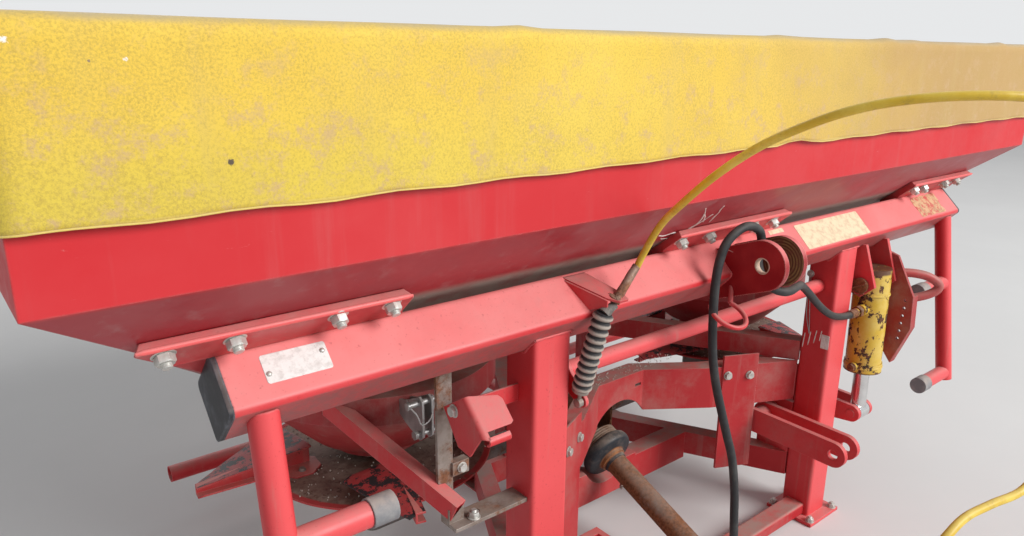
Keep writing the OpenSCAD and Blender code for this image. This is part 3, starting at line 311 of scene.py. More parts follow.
class Finish:
    """A material while its nodes are put together."""

    def __init__(self, name, rough=0.5, metal=0.0, coat=0.0, sheen=0.0):
        self.material = bpy.data.materials.new(name)
        self.material.use_nodes = True
        self.tree = self.material.node_tree
        self.shader = self.tree.nodes["Principled BSDF"]
        self.shader.inputs["Roughness"].default_value = rough
        self.shader.inputs["Metallic"].default_value = metal
        self.shader.inputs["Coat Weight"].default_value = coat
        self.shader.inputs["Coat Roughness"].default_value = 0.25
        self.shader.inputs["Specular IOR Level"].default_value = 0.32
        self.shader.inputs["Sheen Weight"].default_value = sheen
        self.place = self.node("ShaderNodeTexCoord").outputs["Object"]
        self.geometry = self.node("ShaderNodeNewGeometry")

    def node(self, kind, inputs=None, **settings):
        """A node with its settings, and with a link or a value in each of the given inputs."""
        made = self.tree.nodes.new(kind)
        for key, value in settings.items():
            setattr(made, key, value)
        for key, value in (inputs or {}).items():
            if isinstance(value, bpy.types.NodeSocket):
                self.tree.links.new(value, made.inputs[key])
            elif isinstance(value, tuple) and len(value) == 3 and made.inputs[key].type == "RGBA":
                made.inputs[key].default_value = (*value, 1)
            else:
                made.inputs[key].default_value = value
        return made

    def noise(self, scale, detail=5, rough=0.6, stretch=None, shift=(0, 0, 0)):
        """Noise at place x stretch + shift."""
        spot = self.node("ShaderNodeMapping", {"Vector": self.place, "Location": shift,
                                               "Scale": stretch or (1, 1, 1)}).outputs[0]
        return self.node("ShaderNodeTexNoise", {"Vector": spot, "Scale": scale, "Detail": detail,
                                                "Roughness": rough}).outputs[0]

    def axis(self, k):
        """Coordinate k of the place on the piece."""
        return self.node("ShaderNodeSeparateXYZ", {0: self.place}).outputs[k]

    def facing(self, k):
        """Coordinate k of the surface's normal."""
        return self.node("ShaderNodeSeparateXYZ", {0: self.geometry.outputs["Normal"]}).outputs[k]

    def step(self, value, low, high, first=0.0, last=1.0):
        """A smooth step from first to last: first + (last - first) (3 t^2 - 2 t^3), t from low to high."""
        return self.node("ShaderNodeMapRange", {"Value": value, 1: low, 2: high, 3: first, 4: last},
                         interpolation_type="SMOOTHSTEP").outputs[0]

    def calc(self, operation, a, b=0.0):
        """One operation of the Math node."""
        return self.node("ShaderNodeMath", {0: a, 1: b}, operation=operation).outputs[0]

    def times(self, a, b):
        """The product a b."""
        return self.calc("MULTIPLY", a, b)

    def plus(self, a, b):
        """The sum a + b."""
        return self.calc("ADD", a, b)

    def minus(self, a, b):
        """The difference a - b."""
        return self.calc("SUBTRACT", a, b)

    def most(self, a, b):
        """The larger of a and b."""
        return self.calc("MAXIMUM", a, b)

    def mix(self, factor, a, b):
        """Colour a + factor (b - a)."""
        return self.node("ShaderNodeMix", {0: factor, 6: a, 7: b}, data_type="RGBA").outputs[2]

    def up(self, low=0.2, high=0.9):
        """How far the surface faces up, from 0 at the low value of its normal's Z to 1 at the high one."""
        return self.step(self.facing(2), low, high)

    def edges(self, radius):
        """The normal rounded over edges, and how near an edge is: 1 where the two normals' product falls."""
        soft = self.node("ShaderNodeBevel", {"Radius": radius}, samples=4).outputs[0]
        same = self.node("ShaderNodeVectorMath", {0: soft, 1: self.geometry.outputs["True Normal"]},
                         operation="DOT_PRODUCT").outputs["Value"]
        return soft, self.step(same, 0.985, 0.86)

    def finish(self, colour, rough=None, height=None, strength=0.3, distance=0.001, normal=None, metal=None):
        """Links what the shader gets, and gives the material."""
        self.tree.links.new(colour, self.shader.inputs["Base Color"])
        if rough is not None:
            self.tree.links.new(rough, self.shader.inputs["Roughness"])
        if metal is not None:
            self.tree.links.new(metal, self.shader.inputs["Metallic"])
        if height is not None:
            inputs = {"Strength": strength, "Distance": distance, "Height": height}
            if normal is not None:
                inputs["Normal"] = normal
            normal = self.node("ShaderNodeBump", inputs).outputs[0]
        if normal is not None:
            self.tree.links.new(normal, self.shader.inputs["Normal"])
        return self.material


def weathered_paint(name, colour, faded, bleached, dust, dust_share=0.5, chip=(0.09, 0.035, 0.02), chips=0.0,
                    worn=(0.75, 0.30, 0.29), worn_and_lit_share=0.6, rough=0.38, bleach=0.6, streaks=0.3,
                    wall_dust=0.0,
                    edge=0.0022, front=0.0, under=0.0, seed=0.0):
    """Old paint: faded in broad patches, paler where it faces the sky (sun fading and painted highlight),
    with dust, streaks and chips.
    """
    f = Finish(name, rough, coat=0.05)
    soft, edge_share = f.edges(edge)
    broad = f.noise(1.7, 6, 0.6, shift=(seed, 3, 1))
    patch = f.noise(9, 6, 0.65, shift=(2, seed, 5))
    fine = f.noise(150, 3, 0.7, shift=(seed, 0, 0))
    paint = f.mix(f.step(broad, 0.38, 0.68), colour, faded)
    # Paler where it faces up: partly faded by the sun and partly painted highlight from the sky
    paint = f.mix(f.times(f.up(0.1, 0.85), f.step(patch, 0.2, 0.75, bleach * 0.75, bleach)), paint, bleached)
    # Paler on faces turned forward: painted highlight from the lamp in front
    if front:
        ahead = f.times(f.step(f.facing(1), -0.45, -0.95), f.step(patch, 0.15, 0.7, front * 0.8, front))
        paint = f.mix(ahead, paint, tuple(c * 0.95 + b * 0.13 for c, b in zip(faded, bleached)))
    # Dark brown red on faces turned down: painted shade, broken up by noise
    if under:
        below = f.times(f.step(f.facing(2), -0.25, -0.65),
                        f.step(f.noise(44, 9, 0.8), 0.3, 0.62, under * 0.4, under))
        paint = f.mix(below, paint, (0.27, 0.10, 0.095))
    paint = f.mix(f.step(fine, 0.60, 0.74, 0.0, 0.35), paint, tuple(c * 0.55 for c in colour))
    drips = f.noise(1.0, 5, 0.6, stretch=(34, 34, 1.6), shift=(0, 0, seed))
    paint = f.mix(f.step(drips, 0.55, 0.78, 0.0, streaks), paint, dust)
    lie = f.times(f.up(0.35, 0.95), f.step(f.noise(14, 8, 0.7, shift=(seed, 7, 2)), 0.30, 0.66))
    grime = f.step(f.noise(5.5, 9, 0.72, shift=(4, 4, seed)), 0.42, 0.72, 0.0, wall_dust)
    dusty = f.most(f.times(lie, dust_share), grime)
    paint = f.mix(dusty, paint, dust)
    # Pink along the edges: partly worn paint and partly painted highlight
    worn_lit_edges = f.times(edge_share, f.step(f.noise(38, 6, 0.7, shift=(1, seed, 9)), 0.36, 0.6, 0.25, worn_and_lit_share))
    paint = f.mix(worn_lit_edges, paint, worn)
    flake = f.noise(26, 10, 0.78, shift=(seed, seed, 3))
    limit = 0.74 - 0.16 * chips
    loose = f.step(f.plus(flake, f.times(edge_share, 0.09)), limit, limit + 0.012)
    paint = f.mix(loose, paint, chip)
    gloss = f.plus(f.times(dusty, 0.35), f.step(patch, 0.2, 0.8, rough - 0.06, rough + 0.14))
    height = f.minus(f.plus(f.times(fine, 0.12), f.times(broad, 0.8)),
                    f.times(loose, 0.5))
    return f.finish(paint, gloss, height, 0.35, 0.0012, soft)


def bare_metal(name, colour, dark, rust, rust_share=0.4, rough=0.45, metal=0.8, dust=(0.30, 0.25, 0.21),
               dust_share=0.4, edge=0.0015, seed=0.0):
    """Bare or plated metal: darker clouds, rust in patches, dust where it faces up, brighter worn edges."""
    f = Finish(name, rough, metal)
    soft, edge_share = f.edges(edge)
    cloud = f.noise(24, 7, 0.65, shift=(seed, 1, 0))
    base = f.mix(f.step(cloud, 0.35, 0.7), colour, dark)
    patch = f.noise(13, 9, 0.75, shift=(0, seed, 4))
    low = 0.66 - 0.36 * rust_share
    rusty = f.step(patch, low, low + 0.14)
    base = f.mix(rusty, base, f.mix(f.step(f.noise(120, 4, 0.7), 0.35, 0.7), rust,
                                    tuple(c * 0.45 for c in rust)))
    dusty = f.times(f.up(0.2, 0.95),
                    f.step(f.noise(18, 8, 0.7, shift=(seed, 2, 2)), 0.3, 0.65, 0, dust_share))
    base = f.mix(dusty, base, dust)
    base = f.mix(f.times(edge_share, 0.35), base, tuple(min(1, c * 1.5 + 0.03) for c in colour))
    cover = f.most(rusty, dusty)
    return f.finish(base, f.plus(f.times(cover, 0.4), f.step(cloud, 0.2, 0.8, rough - 0.1, rough + 0.1)),
                    f.plus(f.times(f.noise(160, 4, 0.7), 0.4), patch), 0.3, 0.0008, soft,
                    f.times(f.minus(1.0, cover), metal))


def moulded(name, colour, pale, dust, rough=0.6, dust_share=0.5, worn=0.4, edge=0.002, seed=0.0, grain=260):
    """Rubber or plastic: grey bloom in patches, dust on top, scuffed edges, a fine grain."""
    f = Finish(name, rough)
    soft, edge_share = f.edges(edge)
    bloom = f.noise(17, 7, 0.7, shift=(seed, 0, 3))
    base = f.mix(f.step(bloom, 0.42, 0.75, 0.0, 0.65), colour, pale)
    dusty = f.times(f.up(0.0, 0.9),
                    f.step(f.noise(30, 8, 0.7, shift=(0, seed, 0)), 0.3, 0.6, 0.1, dust_share))
    base = f.mix(dusty, base, dust)
    base = f.mix(f.times(edge_share, f.step(f.noise(60, 6, 0.7), 0.35, 0.6, 0.1, worn)), base, pale)
    grains = f.noise(grain, 2, 0.5)
    return f.finish(base, f.plus(f.times(dusty, 0.25), f.step(bloom, 0.2, 0.8, rough - 0.08, rough + 0.12)),
                    f.plus(f.times(grains, 0.3), bloom), 0.25, 0.0006, soft)


def hopper_finish(red):
    """The hopper's paint: a faded band on top, darker panels below the fold from painted shade, dusty and
    streaked there, dust at the seam.
    """
    f = Finish("hopper paint", 0.4, coat=0.05)
    soft, edge_share = f.edges(0.004)
    z = f.axis(2)
    broad, patch, fine = f.noise(1.3, 6, 0.6, shift=(5, 3, 1)), f.noise(7, 7, 0.68), f.noise(150, 3, 0.7)
    paint = f.mix(f.step(broad, 0.36, 0.68), red, (0.60, 0.045, 0.05))
    # Darker below the fold: painted shade on the panels that face down
    below = f.step(z, 1.092, 1.084)
    paint = f.mix(f.times(below, 0.8), paint, (0.27, 0.014, 0.024))
    cloud = f.step(f.plus(patch, f.times(broad, 0.35)), 0.52, 0.86)
    along = f.step(f.axis(0), -1.1, 0.1, 0.22, 0.5)
    paint = f.mix(f.times(f.times(below, along), cloud), paint, (0.42, 0.22, 0.22))
    drips = f.step(f.noise(1.0, 6, 0.62, stretch=(30, 30, 1.8), shift=(0, 0, 5)), 0.52, 0.8, 0.0, 0.35)
    paint = f.mix(f.times(drips, f.step(below, 0, 1, 0.35, 1.0)), paint, (0.40, 0.26, 0.25))
    seam = f.times(f.step(f.plus(z, f.times(patch, 0.03)), 1.002, 0.978),
                  f.step(f.noise(16, 8, 0.7, shift=(2, 9, 0)), 0.25, 0.6, 0.45, 0.95))
    paint = f.mix(seam, paint, (0.36, 0.325, 0.275))
    lie = f.times(f.up(0.35, 0.95), f.step(f.noise(14, 8, 0.7), 0.3, 0.66, 0.3, 0.9))
    paint = f.mix(lie, paint, DUST)
    # Pink along the edges: partly worn paint and partly painted highlight
    worn_lit_edges = f.times(edge_share, f.step(f.noise(34, 6, 0.7), 0.36, 0.6, 0.15, 0.5))
    paint = f.mix(worn_lit_edges, paint, (0.74, 0.27, 0.26))
    scuffs = f.noise(1.0, 8, 0.8, stretch=(18, 18, 75), shift=(1, 4, 2))
    paint = f.mix(f.step(scuffs, 0.66, 0.70, 0.0, 0.6), paint, (0.66, 0.38, 0.36))
    loose = f.step(f.plus(f.noise(30, 10, 0.78, shift=(5, 5, 3)), f.times(edge_share, 0.07)), 0.715, 0.725)
    paint = f.mix(loose, paint, (0.10, 0.04, 0.025))
    gloss = f.plus(f.times(f.most(cloud, seam), 0.22), f.step(patch, 0.2, 0.8, 0.34, 0.5))
    height = f.plus(f.times(fine, 0.1), f.times(broad, 1.6))
    return f.finish(paint, gloss, height, 0.35, 0.0016, soft)


def cover_finish(settings):
    """Faded coated cloth: mottled with grey brown speckle, greener low on the left, tan to the right."""
    f = Finish("faded cover cloth", 0.62, sheen=0.15)
    x, z = f.axis(0), f.axis(2)
    yellow = tuple(settings.cover_colour)
    cloud = f.noise(2.2, 7, 0.62)
    base = f.mix(f.step(cloud, 0.32, 0.68), yellow, (0.79, 0.56, 0.085))
    base = f.mix(f.step(f.plus(x, f.times(f.noise(3, 4), 0.8)), -0.1, 1.15, 0.0, 1.0), base,
                 (0.46, 0.28, 0.095))
    left = f.times(f.step(x, 0.1, -1.5), f.step(z, 1.34, 1.2))
    base = f.mix(f.times(left, 0.7), base, (0.62, 0.50, 0.06))
    speckle = f.noise(300, 4, 0.8, shift=(3, 0, 0))
    wide = f.step(f.noise(5, 8, 0.72, shift=(0, 8, 0)), 0.36, 0.7)
    spots = f.step(f.plus(speckle, f.times(wide, 0.09)), 0.44, 0.74, 0.0, 0.62)
    base = f.mix(spots, base, (0.40, 0.27, 0.06))
    smudge = f.noise(21, 10, 0.82, shift=(1, 5, 3))
    low = f.step(z, 1.40, 1.26, 0.35, 1.0)
    base = f.mix(f.times(f.step(smudge, 0.50, 0.64, 0.0, 0.66), low), base, (0.52, 0.34, 0.20))
    streak = f.noise(1.0, 6, 0.65, stretch=(11, 11, 1.4), shift=(0, 0, 2))
    base = f.mix(f.step(streak, 0.5, 0.8, 0.0, 0.4), base, (0.50, 0.37, 0.15))
    base = f.mix(f.step(f.noise(110, 6, 0.8, shift=(5, 5, 5)), 0.665, 0.70, 0.0, 0.7), base,
                 (0.22, 0.15, 0.07))
    for spot, size, tone in COVER_MARKS:
        away = f.node("ShaderNodeVectorMath", {0: f.place, 1: spot}, operation="DISTANCE").outputs["Value"]
        away = f.plus(away, f.times(f.minus(speckle, 0.5), size * 2.0))
        base = f.mix(f.step(away, size, size * 0.7), base, tone)
    top = f.times(f.up(0.3, 0.95), f.step(f.noise(6, 8, 0.7, shift=(9, 1, 1)), 0.25, 0.7, 0.25, 0.85))
    base = f.mix(top, base, (0.46, 0.38, 0.24))
    hem = f.step(z, 1.1885, 1.1855)
    base = f.mix(f.times(hem, 0.5), base, (0.80, 0.62, 0.20))
    weave = f.node("ShaderNodeTexWave", {"Vector": f.place, "Scale": 210, "Distortion": 0.4, "Detail": 1},
                   bands_direction="DIAGONAL").outputs[1]
    height = f.plus(f.times(weave, 0.04), f.plus(f.times(speckle, 0.5),
                    f.times(f.noise(14, 5), 2.0)))
    return f.finish(base, f.step(speckle, 0.3, 0.7, 0.55, 0.75), height, 0.35, 0.0016)


def ear_finish():
    """The top link ears: deep red, painted highlight in pink on their upper faces and edges, a worn cream rim
    round the hole, rusty arcs inside the right ear.
    """
    f = Finish("ear paint", 0.3, coat=0.05)
    soft, edge_share = f.edges(0.004)
    x, y, z = (f.axis(k) for k in range(3))
    away = f.calc("SQRT", f.plus(f.calc("POWER", f.plus(y, 0.625), 2.0),
                                 f.calc("POWER", f.minus(z, 0.922), 2.0)))
    cloud = f.noise(14, 7, 0.65)
    base = f.mix(f.step(cloud, 0.35, 0.7), (0.27, 0.007, 0.011), (0.36, 0.018, 0.02))
    # Pink on the faces that turn up: painted highlight
    base = f.mix(f.times(f.up(0.1, 0.85), 0.75), base, PINK)
    # Pink edges: partly worn paint and partly painted highlight
    base = f.mix(f.times(edge_share, f.step(f.noise(30, 6), 0.3, 0.55, 0.35, 0.95)), base, (0.86, 0.32, 0.29))
    left_face = f.step(f.facing(0), -0.5, -0.8)
    inner = f.times(left_face, f.step(x, 0.0, 0.002))
    arcs = f.calc("SINE", f.plus(f.times(away, 900.0), f.times(cloud, 6.0)))
    rusty = f.mix(f.step(arcs, -0.8, 0.9), (0.10, 0.045, 0.02), (0.27, 0.17, 0.065))
    rusty = f.mix(f.step(f.noise(34, 8, 0.75), 0.4, 0.62, 0.0, 0.8), rusty, (0.16, 0.05, 0.035))
    base = f.mix(f.times(inner, f.step(f.noise(9, 8, 0.7, shift=(3, 1, 1)), 0.30, 0.40)), base, rusty)
    rim = f.times(f.step(away, 0.0192, 0.0182), f.step(f.noise(70, 6, 0.7), 0.3, 0.5, 0.4, 1.0))
    base = f.mix(rim, base, (0.62, 0.47, 0.36))
    flake = f.step(f.plus(f.noise(30, 10, 0.78), f.times(edge_share, 0.1)), 0.70, 0.71)
    base = f.mix(flake, base, (0.09, 0.035, 0.02))
    rough = f.plus(f.step(cloud, 0.2, 0.8, 0.26, 0.4), f.times(inner, 0.35))
    return f.finish(base, rough, f.plus(f.noise(150, 3), cloud), 0.2, 0.001, soft)


def hose_finish():
    """Black rubber hose: dusty on top, a fine grain in its skin."""
    return moulded("hose rubber", (0.022, 0.022, 0.024), (0.085, 0.083, 0.08), (0.16, 0.145, 0.125), 0.55,
                   0.45, 0.2,
                   0.001, 2.0, 420)


def cable_finish(colour):
    """Mustard cable sheath with grime in long smears and a painted highlight, paler, along its upper side."""
    f = Finish("cable sheath", 0.42, coat=0.1)
    smear = f.noise(9, 8, 0.7)
    base = f.mix(f.step(smear, 0.38, 0.72), tuple(colour), (0.78, 0.58, 0.10))
    base = f.mix(f.step(f.noise(42, 9, 0.75, shift=(2, 2, 2)), 0.5, 0.72, 0.0, 0.55), base,
                 (0.30, 0.20, 0.06))
    # Paler on the upper side: painted highlight
    base = f.mix(f.times(f.up(0.5, 1.0), 0.25), base, (0.85, 0.72, 0.32))
    return f.finish(base, f.step(smear, 0.2, 0.8, 0.36, 0.55), f.noise(60, 6, 0.7), 0.2, 0.0005)


def bellows_finish():
    """Grey rubber bellows: pale dust on the ridges, painted shade near black in the folds, by the piece's
    ridge values.
    """
    f = Finish("bellows rubber", 0.7)
    ridge = f.node("ShaderNodeAttribute", attribute_name="ridge").outputs["Fac"]
    dirt = f.noise(70, 8, 0.75)
    # From near black in the folds, painted shade, to pale dust on the ridges
    share = f.step(f.plus(ridge, f.times(f.minus(dirt, 0.5), 0.9)), 0.2, 1.0)
    base = f.mix(share, (0.035, 0.034, 0.036), (0.42, 0.36, 0.31))
    base = f.mix(f.step(dirt, 0.6, 0.75, 0.0, 0.5), base, (0.20, 0.13, 0.09))
    return f.finish(base, f.step(dirt, 0.2, 0.8, 0.6, 0.85), f.noise(180, 5, 0.7), 0.3, 0.0006)


def disc_finish(side):
    """A disc's dusty brown top, mottled with darker spots, with a red painted rim and reddish edges."""
    f = Finish("disc steel " + side, 0.6, 0.3)
    soft, edge_share = f.edges(0.0015)
    place = f.node("ShaderNodeMapping",
                   {"Vector": f.place, "Location": (DISC_X if side == "left" else -DISC_X, 0, 0)})
    flat = f.node("ShaderNodeVectorMath", {0: place.outputs[0], 1: (1, 1, 0)},
                  operation="MULTIPLY").outputs[0]
    away = f.node("ShaderNodeVectorMath", {0: flat}, operation="LENGTH").outputs["Value"]
    cloud = f.noise(12, 9, 0.72)
    base = f.mix(f.step(cloud, 0.35, 0.66), (0.17, 0.085, 0.06), (0.33, 0.25, 0.20))
    base = f.mix(f.step(f.noise(48, 8, 0.75, shift=(1, 2, 3)), 0.52, 0.62, 0.0, 0.7), base,
                 (0.10, 0.045, 0.03))
    rim = f.times(f.step(away, 0.262, 0.268), f.step(f.noise(30, 8, 0.7), 0.32, 0.44))
    base = f.mix(rim, base, (0.45, 0.05, 0.05))
    base = f.mix(f.times(edge_share, 0.6), base, (0.52, 0.16, 0.14))
    return f.finish(base, f.step(cloud, 0.2, 0.8, 0.5, 0.8), f.plus(cloud, f.noise(200, 3)), 0.35, 0.0012,
                    soft)


def bell_finish():
    """The shaft's guard bell: rusty brown ribs, a blue black bulge and an orange rust ring at its neck."""
    f = Finish("guard bell", 0.5)
    soft, edge_share = f.edges(0.001)
    along = f.node("ShaderNodeVectorMath", {0: f.place, 1: SHAFT_AXIS},
                   operation="DOT_PRODUCT").outputs["Value"]
    along = f.minus(along, float(np.dot(SHAFT_JOINT, SHAFT_AXIS)))
    mottle = f.noise(40, 8, 0.75)
    rust = f.mix(f.step(mottle, 0.35, 0.65), (0.15, 0.075, 0.04), (0.27, 0.19, 0.14))
    black = f.mix(f.step(mottle, 0.45, 0.7, 0.0, 0.6), (0.018, 0.022, 0.028), (0.12, 0.10, 0.09))
    base = f.mix(f.step(along, 0.089, 0.093), rust, black)
    ring = f.mix(f.step(mottle, 0.35, 0.6), (0.36, 0.15, 0.05), (0.20, 0.08, 0.035))
    base = f.mix(f.times(f.step(along, 0.128, 0.131), f.step(along, 0.146, 0.143)), base, ring)
    base = f.mix(f.times(f.up(0.2, 0.9), f.step(f.noise(24, 8, 0.7), 0.3, 0.6, 0.1, 0.6)), base,
                 (0.30, 0.24, 0.19))
    return f.finish(base, f.step(mottle, 0.2, 0.8, 0.4, 0.75), f.plus(mottle, f.noise(180, 4)), 0.35, 0.001,
                    soft)


def cylinder_finish():
    """The tilt cylinder's yellow paint with long brown black chips and dust on top."""
    f = Finish("cylinder paint", 0.42, coat=0.1)
    soft, edge_share = f.edges(0.0015)
    cloud = f.noise(16, 7, 0.65)
    base = f.mix(f.step(cloud, 0.35, 0.68), (0.62, 0.40, 0.035), (0.68, 0.49, 0.12))
    tall = f.noise(1.0, 7, 0.66, stretch=(30, 30, 24), shift=(0, 1.3, 0.4))
    chip = f.step(f.plus(tall, f.times(edge_share, 0.1)), 0.562, 0.573)
    base = f.mix(f.step(tall, 0.535, 0.575, 0.0, 0.7), base, (0.40, 0.20, 0.04))
    base = f.mix(chip, base, f.mix(f.step(f.noise(90, 5), 0.4, 0.6), (0.028, 0.018, 0.014),
                                   (0.13, 0.05, 0.022)))
    base = f.mix(f.step(f.noise(60, 8, 0.8, shift=(4, 0, 0)), 0.62, 0.7, 0.0, 0.6), base, (0.33, 0.24, 0.13))
    z = f.axis(2)
    ends = f.most(f.step(z, 0.757, 0.763), f.step(z, 0.462, 0.456))
    base = f.mix(f.times(ends, f.step(f.noise(20, 8, 0.7), 0.25, 0.5)), base, (0.13, 0.06, 0.035))
    height = f.minus(f.times(cloud, 0.5), f.times(chip, 0.8))
    return f.finish(base, f.step(chip, 0.0, 1.0, 0.4, 0.75), height, 0.5, 0.001, soft)


def label_finish(name, colour, stain, torn=0.0, metal=0.0):
    """A blank label: pale film, stained in patches, rubbed darker along its edge."""
    f = Finish(name, 0.45, metal)
    soft, edge_share = f.edges(0.0008)
    cloud = f.noise(60, 8, 0.7)
    base = f.mix(f.step(cloud, 0.42, 0.66, 0.0, 0.8), colour, stain)
    base = f.mix(f.step(f.noise(240, 6, 0.8, shift=(1, 1, 1)), 0.60, 0.68, 0.0, 0.5), base,
                 tuple(c * 0.4 for c in stain))
    if torn:
        base = f.mix(f.step(f.noise(52, 9, 0.8, shift=(7, 3, 3)), 0.60 - torn * 0.1, 0.61 - torn * 0.1),
                     base, (0.55, 0.10, 0.08))
    base = f.mix(f.times(edge_share, 0.5), base, stain)
    return f.finish(base, f.step(cloud, 0.2, 0.8, 0.35, 0.6), cloud, 0.15, 0.0003, soft)


RED = (0.56, 0.016, 0.022)
FADED_RED = (0.66, 0.055, 0.062)
# Pale pink where paint faces the sky or the lamps: partly sun fading and partly painted highlight
PINK = (0.86, 0.27, 0.26)
DUST = (0.36, 0.27, 0.23)

FINISHES = {}


def make_finishes():
    """Makes every finish once, by name."""
    s = bpy.context.scene.spreader_finish
    red, faded, pink = tuple(s.red), tuple(s.faded_red), tuple(s.bleached_red)
    paint = weathered_paint
    FINISHES.update({
        "frame red": paint("frame red", red, faded, pink, DUST, 0.55, chips=0.25, bleach=0.45,
                           wall_dust=0.25),
        "beam red": paint("beam red", red, faded, pink, DUST, 0.15, chips=0.12, bleach=0.9, streaks=0.1,
                          edge=0.004,
                          wall_dust=0.1, under=0.85, seed=1.7),
        "post red": paint("post red", red, faded, pink, DUST, 0.3, chips=0.12, bleach=0.6, edge=0.004,
                          front=0.85, seed=3.1),
        "ear red": ear_finish(),
        "hopper red": hopper_finish(red),
        # A darker copy of the machine's red: painted shade on the bowls, sector plate and hinge flaps, with
        # real dust and chips
        "shaded dark red": paint("shaded dark red", (0.30, 0.016, 0.02), (0.36, 0.035, 0.035), (0.5, 0.12, 0.11), DUST,
                          0.75,
                          chips=0.35, wall_dust=0.5, seed=6.3, rough=0.5),
        "dusty red": paint("dusty red", (0.44, 0.02, 0.025), (0.5, 0.05, 0.05), (0.66, 0.17, 0.15), DUST,
                           0.85,
                           chips=0.3, wall_dust=0.4, streaks=0.4, seed=7.7, rough=0.45),
        "loop red": paint("loop red", (0.44, 0.05, 0.05), (0.52, 0.10, 0.09), (0.62, 0.22, 0.19),
                          (0.33, 0.26, 0.22), 0.8,
                          chips=0.2, wall_dust=0.5, bleach=0.4, seed=4.4),
        # The strips' red is darker, painted shade on their down-turned faces; the lips' red is brighter, a
        # painted highlight along each strip's upper edge
        "shaded strip red": paint("shaded strip red", (0.40, 0.016, 0.02), (0.52, 0.04, 0.045), pink, DUST, 0.4, chips=0.2,
                           wall_dust=0.35, bleach=0.5, edge=0.003, seed=9.4),
        "lit lip red": paint("lit lip red", (0.74, 0.09, 0.09), (0.80, 0.15, 0.14), pink, DUST, 0.2, chips=0.15,
                         bleach=0.7, seed=2.2),
        "blade red": paint("blade red", (0.34, 0.016, 0.02), (0.42, 0.03, 0.035), (0.5, 0.10, 0.09), DUST,
                           0.15,
                           chip=(0.03, 0.027, 0.028), chips=1.5, wall_dust=0.1, bleach=0.15, seed=3.6,
                           rough=0.45),
        "vane red": paint("vane red", (0.50, 0.02, 0.025), (0.58, 0.06, 0.06), (0.7, 0.2, 0.17), DUST, 0.45,
                          chip=(0.03, 0.02, 0.018), chips=0.75, wall_dust=0.3, seed=8.1),
        "lever steel": bare_metal("lever steel", (0.34, 0.29, 0.26), (0.2, 0.15, 0.12), (0.24, 0.10, 0.05),
                                  0.5,
                                  dust_share=0.75, metal=0.4, seed=1.0),
        "rusty steel": bare_metal("rusty steel", (0.25, 0.19, 0.15), (0.14, 0.08, 0.05),
                                  (0.26, 0.105, 0.045), 0.95,
                                  0.55, 0.5, dust_share=0.5, seed=2.0),
        "galvanised steel": bare_metal("galvanised steel", (0.46, 0.46, 0.45), (0.31, 0.31, 0.31),
                                       (0.3, 0.15, 0.08),
                                       0.1, 0.42, 0.75, dust_share=0.5, seed=3.0),
        "zinc nuts": bare_metal("zinc nuts", (0.62, 0.61, 0.57), (0.40, 0.39, 0.36), (0.30, 0.18, 0.1), 0.12,
                                0.4,
                                0.55, (0.5, 0.46, 0.4), 0.4, 0.0008, 4.0),
        "cast housing": bare_metal("cast housing", (0.20, 0.19, 0.18), (0.12, 0.11, 0.10), (0.2, 0.09, 0.05),
                                   0.35,
                                   0.6, 0.2, dust_share=0.8, edge=0.004, seed=5.0),
        "chrome rod": bare_metal("chrome rod", (0.72, 0.72, 0.72), (0.6, 0.6, 0.6), (0.3, 0.15, 0.08), 0.02,
                                 0.15,
                                 1.0, dust_share=0.15, seed=6.0),
        "cable metal": bare_metal("cable metal", (0.30, 0.20, 0.15), (0.16, 0.09, 0.06), (0.3, 0.13, 0.07),
                                  0.6, 0.5,
                                  0.4, (0.4, 0.3, 0.25), 0.6, 0.0006, 7.0),
        "end cap plastic": moulded("end cap plastic", (0.018, 0.018, 0.022), (0.19, 0.20, 0.23), DUST, 0.5,
                                   0.3, 0.9,
                                   0.006, 1.0),
        "step cap plastic": moulded("step cap plastic", (0.20, 0.20, 0.21), (0.42, 0.40, 0.38),
                                    (0.45, 0.38, 0.33),
                                    0.6, 0.7, 0.6, 0.004, 2.0),
        "cover cloth": cover_finish(s),
        "hose rubber": hose_finish(),
        "cable sheath": cable_finish(s.cable_colour),
        "bellows rubber": bellows_finish(),
        "left disc": disc_finish("left"),
        "right disc": disc_finish("right"),
        "guard bell": bell_finish(),
        "cylinder paint": cylinder_finish(),
        "aluminium plate": label_finish("aluminium plate", (0.74, 0.73, 0.70), (0.52, 0.49, 0.46),
                                        metal=0.35),
        "cream label": label_finish("cream label", (0.80, 0.69, 0.47), (0.62, 0.45, 0.29)),
        "torn label": label_finish("torn label", (0.66, 0.43, 0.24), (0.42, 0.23, 0.13), 0.9),
        "white label": label_finish("white label", (0.82, 0.80, 0.76), (0.6, 0.5, 0.45)),
        "granules": moulded("granules", (0.62, 0.57, 0.50), (0.80, 0.77, 0.72), (0.5, 0.42, 0.36), 0.8, 0.3,
                            0.2, 0.0005, 6.0),
    })


